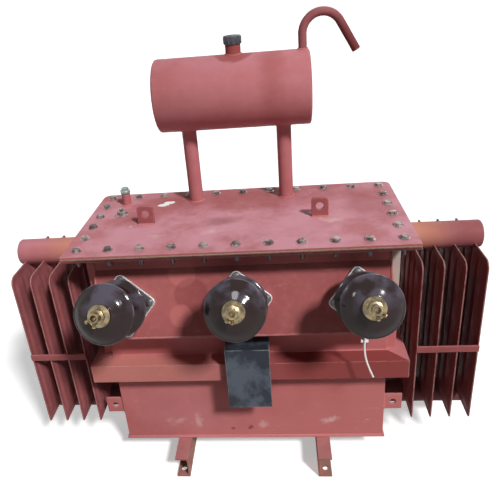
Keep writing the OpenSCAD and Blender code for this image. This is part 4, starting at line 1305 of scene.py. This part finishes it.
class TRANSFORMER_OT_breather(Operator):
    """Breather pipe: a riser, a bend and an open tail"""

    bl_idname = "transformer.breather"
    bl_label = "Breather Pipe"

    def execute(self, context):
        size = settings("drum")
        low, high, mid, _ = spans("breather_riser")
        riser_rows, bend_rows, tail_rows = 12, 44, 20
        rise = np.linspace(low.z - size.pipe_root, high.z, riser_rows)
        riser = np.stack([np.full(riser_rows, mid.x), rise], axis=-1)
        last = math.pi - size.sweep
        bend = arc((mid.x + size.bend, high.z), size.bend, 180, math.degrees(last), bend_rows)
        onward = np.array([math.sin(last), -math.cos(last)])
        tail = bend[-1] + onward * np.linspace(0, size.tail, tail_rows)[:, None]
        line = np.concatenate([riser, bend[1:], tail[1:]])
        path = np.stack([line[:, 0], np.full(len(line), mid.y), line[:, 1]], axis=-1)
        nodes = ["breather_riser", "breather_bend", "breather_tail"]
        add_piece("breather_hook", [self.wall(path, size)], "hook_primer", nodes)
        return {"FINISHED"}

    def wall(self, path, size):
        """Round ring carried out along the path at full size and back along it at bore size."""
        run = np.gradient(path, axis=0)
        run /= np.linalg.norm(run, axis=1, keepdims=True)
        depth = np.array((0, 1, 0))
        side = np.cross(run, depth)
        ring = oval(2 * size.pipe, 2 * size.pipe, sides=40)
        offset = ring[None, :, :1] * side[:, None] + ring[None, :, 1:] * depth
        bore = 1 - size.pipe_wall / size.pipe
        outer = path[:, None] + offset
        inner = path[:, None] + bore * offset
        return surface(np.concatenate([outer, inner[::-1]]), wrap_rows=True)


class TRANSFORMER_OT_lid_fittings(Operator):
    """Thermometer pocket with its cap, and the vent plug"""

    bl_idname = "transformer.lid_fittings"
    bl_label = "Lid Fittings"

    def execute(self, context):
        low, _, mid, box = spans("thermometer_pocket")
        pocket = at(rod(box.x / 2, box.z, sides=40), mid.x, mid.y, low.z)
        add_piece("thermometer_pipe", [pocket], "pipe_primer", ["thermometer_pocket"])
        knob_inset = 0.002
        knob_r = box.x / 2 - knob_inset
        low, _, _, box = spans("thermometer_cap")
        parts = [at(part, mid.x, mid.y, low.z) for part in self.hood(box.x / 2, box.z, knob_r)]
        add_piece("thermometer_hood", parts, "galvanised", ["thermometer_cap"])
        low, _, mid, box = spans("vent_plug")
        parts = [at(part, mid.x, mid.y, low.z) for part in self.vent(box.x / 2, box.z)]
        add_piece("vent_screw", parts, "plated_zinc", ["vent_plug"])
        return {"FINISHED"}

    def hood(self, radius, height, knob_r):
        """Round skirt with a sloping shoulder, and a hexagon knob on it."""
        shoulder = 0.70 * height
        skirt = [
            (0, 0),
            (radius, 0),
            (radius, 0.56 * height),
            (0.88 * radius, 0.66 * height),
            (0.5 * radius, shoulder),
            (0, shoulder),
        ]
        knob = at(hexagon(knob_r, 0.38 * height), 0, 0, 0.62 * height)
        return [lathe(eased(skirt, rounds=2), sides=40), knob]

    def vent(self, radius, height):
        """Washer, hexagon plug and a nipple with a coned tip."""
        washer_h, plug_h, tip_h = 0.14 * height, 0.48 * height, 0.38 * height
        nipple_r = 0.35 * radius
        nipple = [(nipple_r, 0), (nipple_r, 0.3 * height), (0.24 * radius, tip_h), (0, tip_h)]
        plug = at(hexagon(0.70 * radius, plug_h), 0, 0, washer_h)
        tip = at(lathe(eased(nipple, rounds=2), sides=28), 0, 0, washer_h + plug_h)
        return [disc(radius, washer_h, sides=40), plug, tip]


class TRANSFORMER_OT_weld_beads(Operator):
    """Rippled weld beads where pipes and plates meet"""

    bl_idname = "transformer.weld_beads"
    bl_label = "Weld Beads"

    def execute(self, context):
        size = settings("weld")
        dice = np.random.default_rng(size.seed)
        parts = [self.bead(size, path, across, True, dice) for path, across in self.pipe_rings()]
        parts += [self.bead(size, path, across, False, dice) for path, across in self.plate_runs(size)]
        add_piece("weld_beads", parts, "tank_primer", sharp=80)
        return {"FINISHED"}

    def pipe_rings(self):
        """Closed paths round the feet of pipes: circles, which follow the drum where they meet it."""
        drum = settings("drum")
        header_r = settings("radiator").header
        _, _, mid, box = spans("conservator_ends")
        lid_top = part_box("lid")[1].z
        foot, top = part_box("conservator_legs")
        turn = round_turn(96)
        fine = round_turn(288)
        rings = []

        def ring(x, y, z, across):
            """Keeps a path of those coordinates."""
            rings.append((np.stack(np.broadcast_arrays(x, y, z), axis=-1), across))

        def on_lid(x, y, radius):
            """Circle on the lid."""
            ring(x + radius * np.cos(turn), y + radius * np.sin(turn), lid_top, UP)

        def on_drum(x, radius, side):
            """Circle carried up or down to the drum: its height from the axis is sqrt(R^2 - depth^2)."""
            depth = radius * np.sin(turn)
            height = mid.z + side * np.sqrt((box.z / 2) ** 2 - depth**2)
            ring(x + radius * np.cos(turn), mid.y + depth, height, UP)

        for x in (foot.x + drum.leg, top.x - drum.leg):
            on_lid(x, mid.y, drum.leg)
            on_drum(x, drum.leg, -1)
        on_drum(spans("filler_neck")[2].x, drum.neck, 1)
        on_drum(spans("breather_riser")[2].x, drum.pipe, 1)
        _, _, pocket, pocket_box = spans("thermometer_pocket")
        on_lid(pocket.x, pocket.y, pocket_box.x / 2)
        for height in ("upper", "lower"):
            low, _, pipe, _ = spans(f"right_{height}_header")
            y, z = pipe.y + header_r * np.cos(fine), pipe.z + header_r * np.sin(fine)
            for side in (-1, 1):
                ring(side * low.x, y, z, ACROSS)
        return rings

    def plate_runs(self, size):
        """Straight paths along the inner corners between plates."""
        front_y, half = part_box("front_wall")[0].y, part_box("front_wall")[1].x
        back_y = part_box("back_wall")[1].y
        floor_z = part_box("tank_floor")[1].z
        rim_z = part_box("flange_front")[0].z
        lid_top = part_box("lid")[1].z
        belt, panel, earth, bracket = (
            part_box(node) for node in ("belt_front", "hv_panel", "earth_lugs", "plate_bracket")
        )
        lug_low, lug_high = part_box("lifting_lugs")
        runs = []

        def run(start, stop, across=UP):
            """Keeps a straight path, with three steps to a ripple."""
            steps = max(int(math.dist(start, stop) / (size.ripple / 3)), 8)
            runs.append((np.linspace(start, stop, steps), across))

        for z in (belt[0].z, belt[1].z, floor_z):
            for y in (front_y, back_y):
                run((-half, y, z), (half, y, z))
            for x in (-half, half):
                run((x, front_y, z), (x, back_y, z))
        for y in (back_y, front_y):
            run((-half, y, rim_z), (half, y, rim_z))
        for x in (-half, half):
            brow = (x, front_y, panel[1].z)
            run(brow, (x, panel[0].y, panel[0].z), ACROSS)
            run(brow, (x, front_y, rim_z), ACROSS)
            for y in (earth[0].y, earth[1].y):
                run((x, y, earth[0].z), (x, y, earth[1].z), ACROSS)
        run((bracket[0].x, front_y, bracket[1].z), (bracket[1].x, front_y, bracket[1].z))
        for x in (lug_low.x, lug_high.x - size.lug):
            for y in (lug_low.y, lug_high.y):
                run((x, y, lid_top), (x + size.lug, y, lid_top))
        return runs

    def bead(self, size, path, across, closed, dice):
        """Round ring carried along the path, swelling at each ripple and wandering a little in size."""
        steps = np.linalg.norm(np.diff(path, axis=0), axis=1)
        along = np.concatenate([[0], np.cumsum(steps)])
        ripple = np.sin(FULL_TURN * along / size.ripple)
        drift = dice.uniform(-size.wander, size.wander, 12)
        wander = np.interp(along, np.linspace(0, along[-1], len(drift)), drift)
        if closed:
            wander *= np.sin(math.pi * along / along[-1])
        ring = oval(2 * size.bead, 2 * size.bead, sides=8)
        return sweep(path, ring, across, 1 + size.swell * ripple + wander, closed)


# Route of the tie strap, from the clamp ring to its bare end
TIE_ROUTE = np.array(
    [
        (0.3230, -0.2216, 0.5401),
        (0.3230, -0.2272, 0.5424),
        (0.3229, -0.2315, 0.5420),
        (0.3226, -0.2350, 0.5395),
        (0.3222, -0.2370, 0.5355),
        (0.3216, -0.2380, 0.5300),
        (0.3206, -0.2384, 0.5220),
        (0.3194, -0.2385, 0.5130),
        (0.3182, -0.2385, 0.5030),
        (0.3173, -0.2385, 0.4930),
        (0.3170, -0.2385, 0.4830),
        (0.3174, -0.2385, 0.4730),
        (0.3184, -0.2385, 0.4620),
        (0.3202, -0.2385, 0.4500),
        (0.3230, -0.2385, 0.4370),
        (0.3270, -0.2385, 0.4230),
        (0.3318, -0.2385, 0.4090),
        (0.3370, -0.2385, 0.3950),
        (0.3420, -0.2385, 0.3820),
    ]
)


class TRANSFORMER_OT_tie(Operator):
    """White tie strap hanging from the right clamp ring"""

    bl_idname = "transformer.tie"
    bl_label = "Tie Strap"

    def execute(self, context):
        size = settings("tie")
        strap = sweep(TIE_ROUTE, oval(size.thick, size.width, sides=16), ACROSS)
        piece = add_piece("white_tie_strap", [strap], "milky_nylon", ["tie_strap"], sharp=50)
        return {"FINISHED"}


# Stage


class TRANSFORMER_OT_stage(Operator):
    """Camera, lamps, surrounding light and pale floor"""

    bl_idname = "transformer.stage"
    bl_label = "Stage"

    def execute(self, context):
        size = settings("stage")
        context.scene.view_settings.view_transform = "Standard"
        self.camera(context, size)
        for name in ("key", "fill", "back"):
            strength, from_side, spread = (getattr(size, name + end) for end in ("", "_from", "_spread"))
            lamp = self.lamp(context, name + "_lamp", "SUN", strength, from_side)
            lamp.data.angle = spread
        self.glint(context, size)
        self.sky(context, size)
        self.floor(context, size)
        return {"FINISHED"}

    def camera(self, context, size):
        """Camera turned by yaw, pitch and roll, with its lens axis on the named picture pixel."""
        drop, run = math.sin(size.pitch), math.cos(size.pitch)
        ahead = Vector((math.sin(size.yaw) * run, math.cos(size.yaw) * run, -drop))
        right = Vector((math.cos(size.yaw), -math.sin(size.yaw), 0))
        up = right.cross(ahead)
        cos, sin = math.cos(size.roll), math.sin(size.roll)
        right, up = cos * right - sin * up, sin * right + cos * up
        data = bpy.data.cameras.new("camera")
        wide, high = size.picture_px
        data.sensor_fit = "HORIZONTAL"
        data.lens = size.focal_px / wide * data.sensor_width
        data.shift_x = (wide / 2 - size.centre_px[0]) / wide
        data.shift_y = (size.centre_px[1] - high / 2) / wide
        camera = bpy.data.objects.new("camera", data)
        turn = Matrix((right, up, -ahead)).transposed().to_4x4()
        camera.matrix_world = Matrix.Translation(size.eye) @ turn
        context.scene.collection.objects.link(camera)
        context.scene.camera = camera

    def lamp(self, context, name, kind, strength, from_side):
        """Lamp that shines from one side."""
        data = bpy.data.lights.new(name, kind)
        data.energy = strength
        lamp = bpy.data.objects.new(name, data)
        lamp.rotation_euler = Vector(from_side).to_track_quat("Z", "Y").to_euler()
        context.scene.collection.objects.link(lamp)
        return lamp

    def glint(self, context, size):
        """Small panel over the bushings that shows only as a gleam on the glaze and the metal."""
        lamp = self.lamp(context, "glint_lamp", "AREA", size.glint, size.glint_from)
        lamp.data.shape = "DISK"
        lamp.data.size = size.glint_wide
        lamp.location = size.glint_at
        lamp.visible_camera = False
        lamp.visible_diffuse = False

    def seen(self, nodes):
        """Share of a ray that shows the background: seen straight, mirrored or through glass."""
        rays = nodes.node("LightPath").outputs
        mirrored_too = nodes.calc("MAXIMUM", rays["Is Camera Ray"], rays["Is Glossy Ray"])
        return nodes.calc("MAXIMUM", mirrored_too, rays["Is Transmission Ray"])

    def sky(self, context, size):
        """Even light from all round, which is white where it is seen."""
        world = bpy.data.worlds.new("sky")
        context.scene.world = world
        nodes = Nodes(world)
        strength = nodes.node("MapRange", Value=self.seen(nodes))
        nodes.fill(strength, {"To Min": size.sky, "To Max": 1.0})
        light = {"Color": (1, 1, 1), "Strength": strength.outputs["Result"]}
        nodes.fill(nodes.tree.nodes["Background"], light)

    def floor(self, context, size):
        """Pale floor with a soft shadow, which throws little light back on the object."""
        half = size.floor_half
        corners = [(-half, -half, 0), (half, -half, 0), (half, half, 0), (-half, half, 0)]
        mesh = bpy.data.meshes.new("floor")
        mesh.from_pydata(corners, [], [(0, 1, 2, 3)])
        material = bpy.data.materials.new("studio_floor")
        nodes = Nodes(material)
        paint = {
            "Base Color": size.floor,
            "Roughness": 0.9,
            "Specular IOR Level": 0.0,
            "Emission Color": (1, 1, 1),
            "Emission Strength": size.floor_glow,
        }
        shown = nodes.fill(nodes.tree.nodes["Principled BSDF"], paint)
        thrown = nodes.node("BsdfDiffuse", Color=size.floor_thrown)
        blend = nodes.node("MixShader")
        for socket, value in zip(blend.inputs, (self.seen(nodes), thrown.outputs[0], shown.outputs[0])):
            nodes.put(socket, value)
        nodes.fill(nodes.tree.nodes["Material Output"], {"Surface": blend.outputs[0]})
        mesh.materials.append(material)
        floor = bpy.data.objects.new("floor", mesh)
        context.scene.collection.objects.link(floor)


OPERATORS = (
    TRANSFORMER_OT_finishes,
    TRANSFORMER_OT_cover_bolts,
    TRANSFORMER_OT_hv_bushings,
    TRANSFORMER_OT_hv_terminals,
    TRANSFORMER_OT_clamp_bolts,
    TRANSFORMER_OT_low_side,
    TRANSFORMER_OT_headers,
    TRANSFORMER_OT_fins,
    TRANSFORMER_OT_conservator,
    TRANSFORMER_OT_filler,
    TRANSFORMER_OT_breather,
    TRANSFORMER_OT_lid_fittings,
    TRANSFORMER_OT_weld_beads,
    TRANSFORMER_OT_tie,
    TRANSFORMER_OT_stage,
)


class TRANSFORMER_PT_dressing(Panel):
    """Lists the pieces and their settings"""

    bl_idname = "TRANSFORMER_PT_dressing"
    bl_label = "Distribution Transformer"
    bl_space_type = "VIEW_3D"
    bl_region_type = "UI"
    bl_category = "Transformer"

    def draw(self, context):
        column = self.layout.column()
        for operator in OPERATORS:
            column.operator(operator.bl_idname)
        for group, kind in SETTINGS.items():
            box = self.layout.box()
            box.label(text=kind.__doc__)
            for name in kind.__annotations__:
                box.prop(settings(group), name)


CLASSES = (*SETTINGS.values(), *OPERATORS, TRANSFORMER_PT_dressing)


def register():
    for kind in CLASSES:
        bpy.utils.register_class(kind)
    for group, kind in SETTINGS.items():
        setattr(bpy.types.Scene, "transformer_" + group, PointerProperty(type=kind))


def unregister():
    for group in SETTINGS:
        delattr(bpy.types.Scene, "transformer_" + group)
    for kind in reversed(CLASSES):
        bpy.utils.unregister_class(kind)


def main():
    """Builds every piece in order."""
    register()
    for operator in OPERATORS:
        group, name = operator.bl_idname.split(".")
        getattr(getattr(bpy.ops, group), name)()


if __name__ == "__main__":
    main()
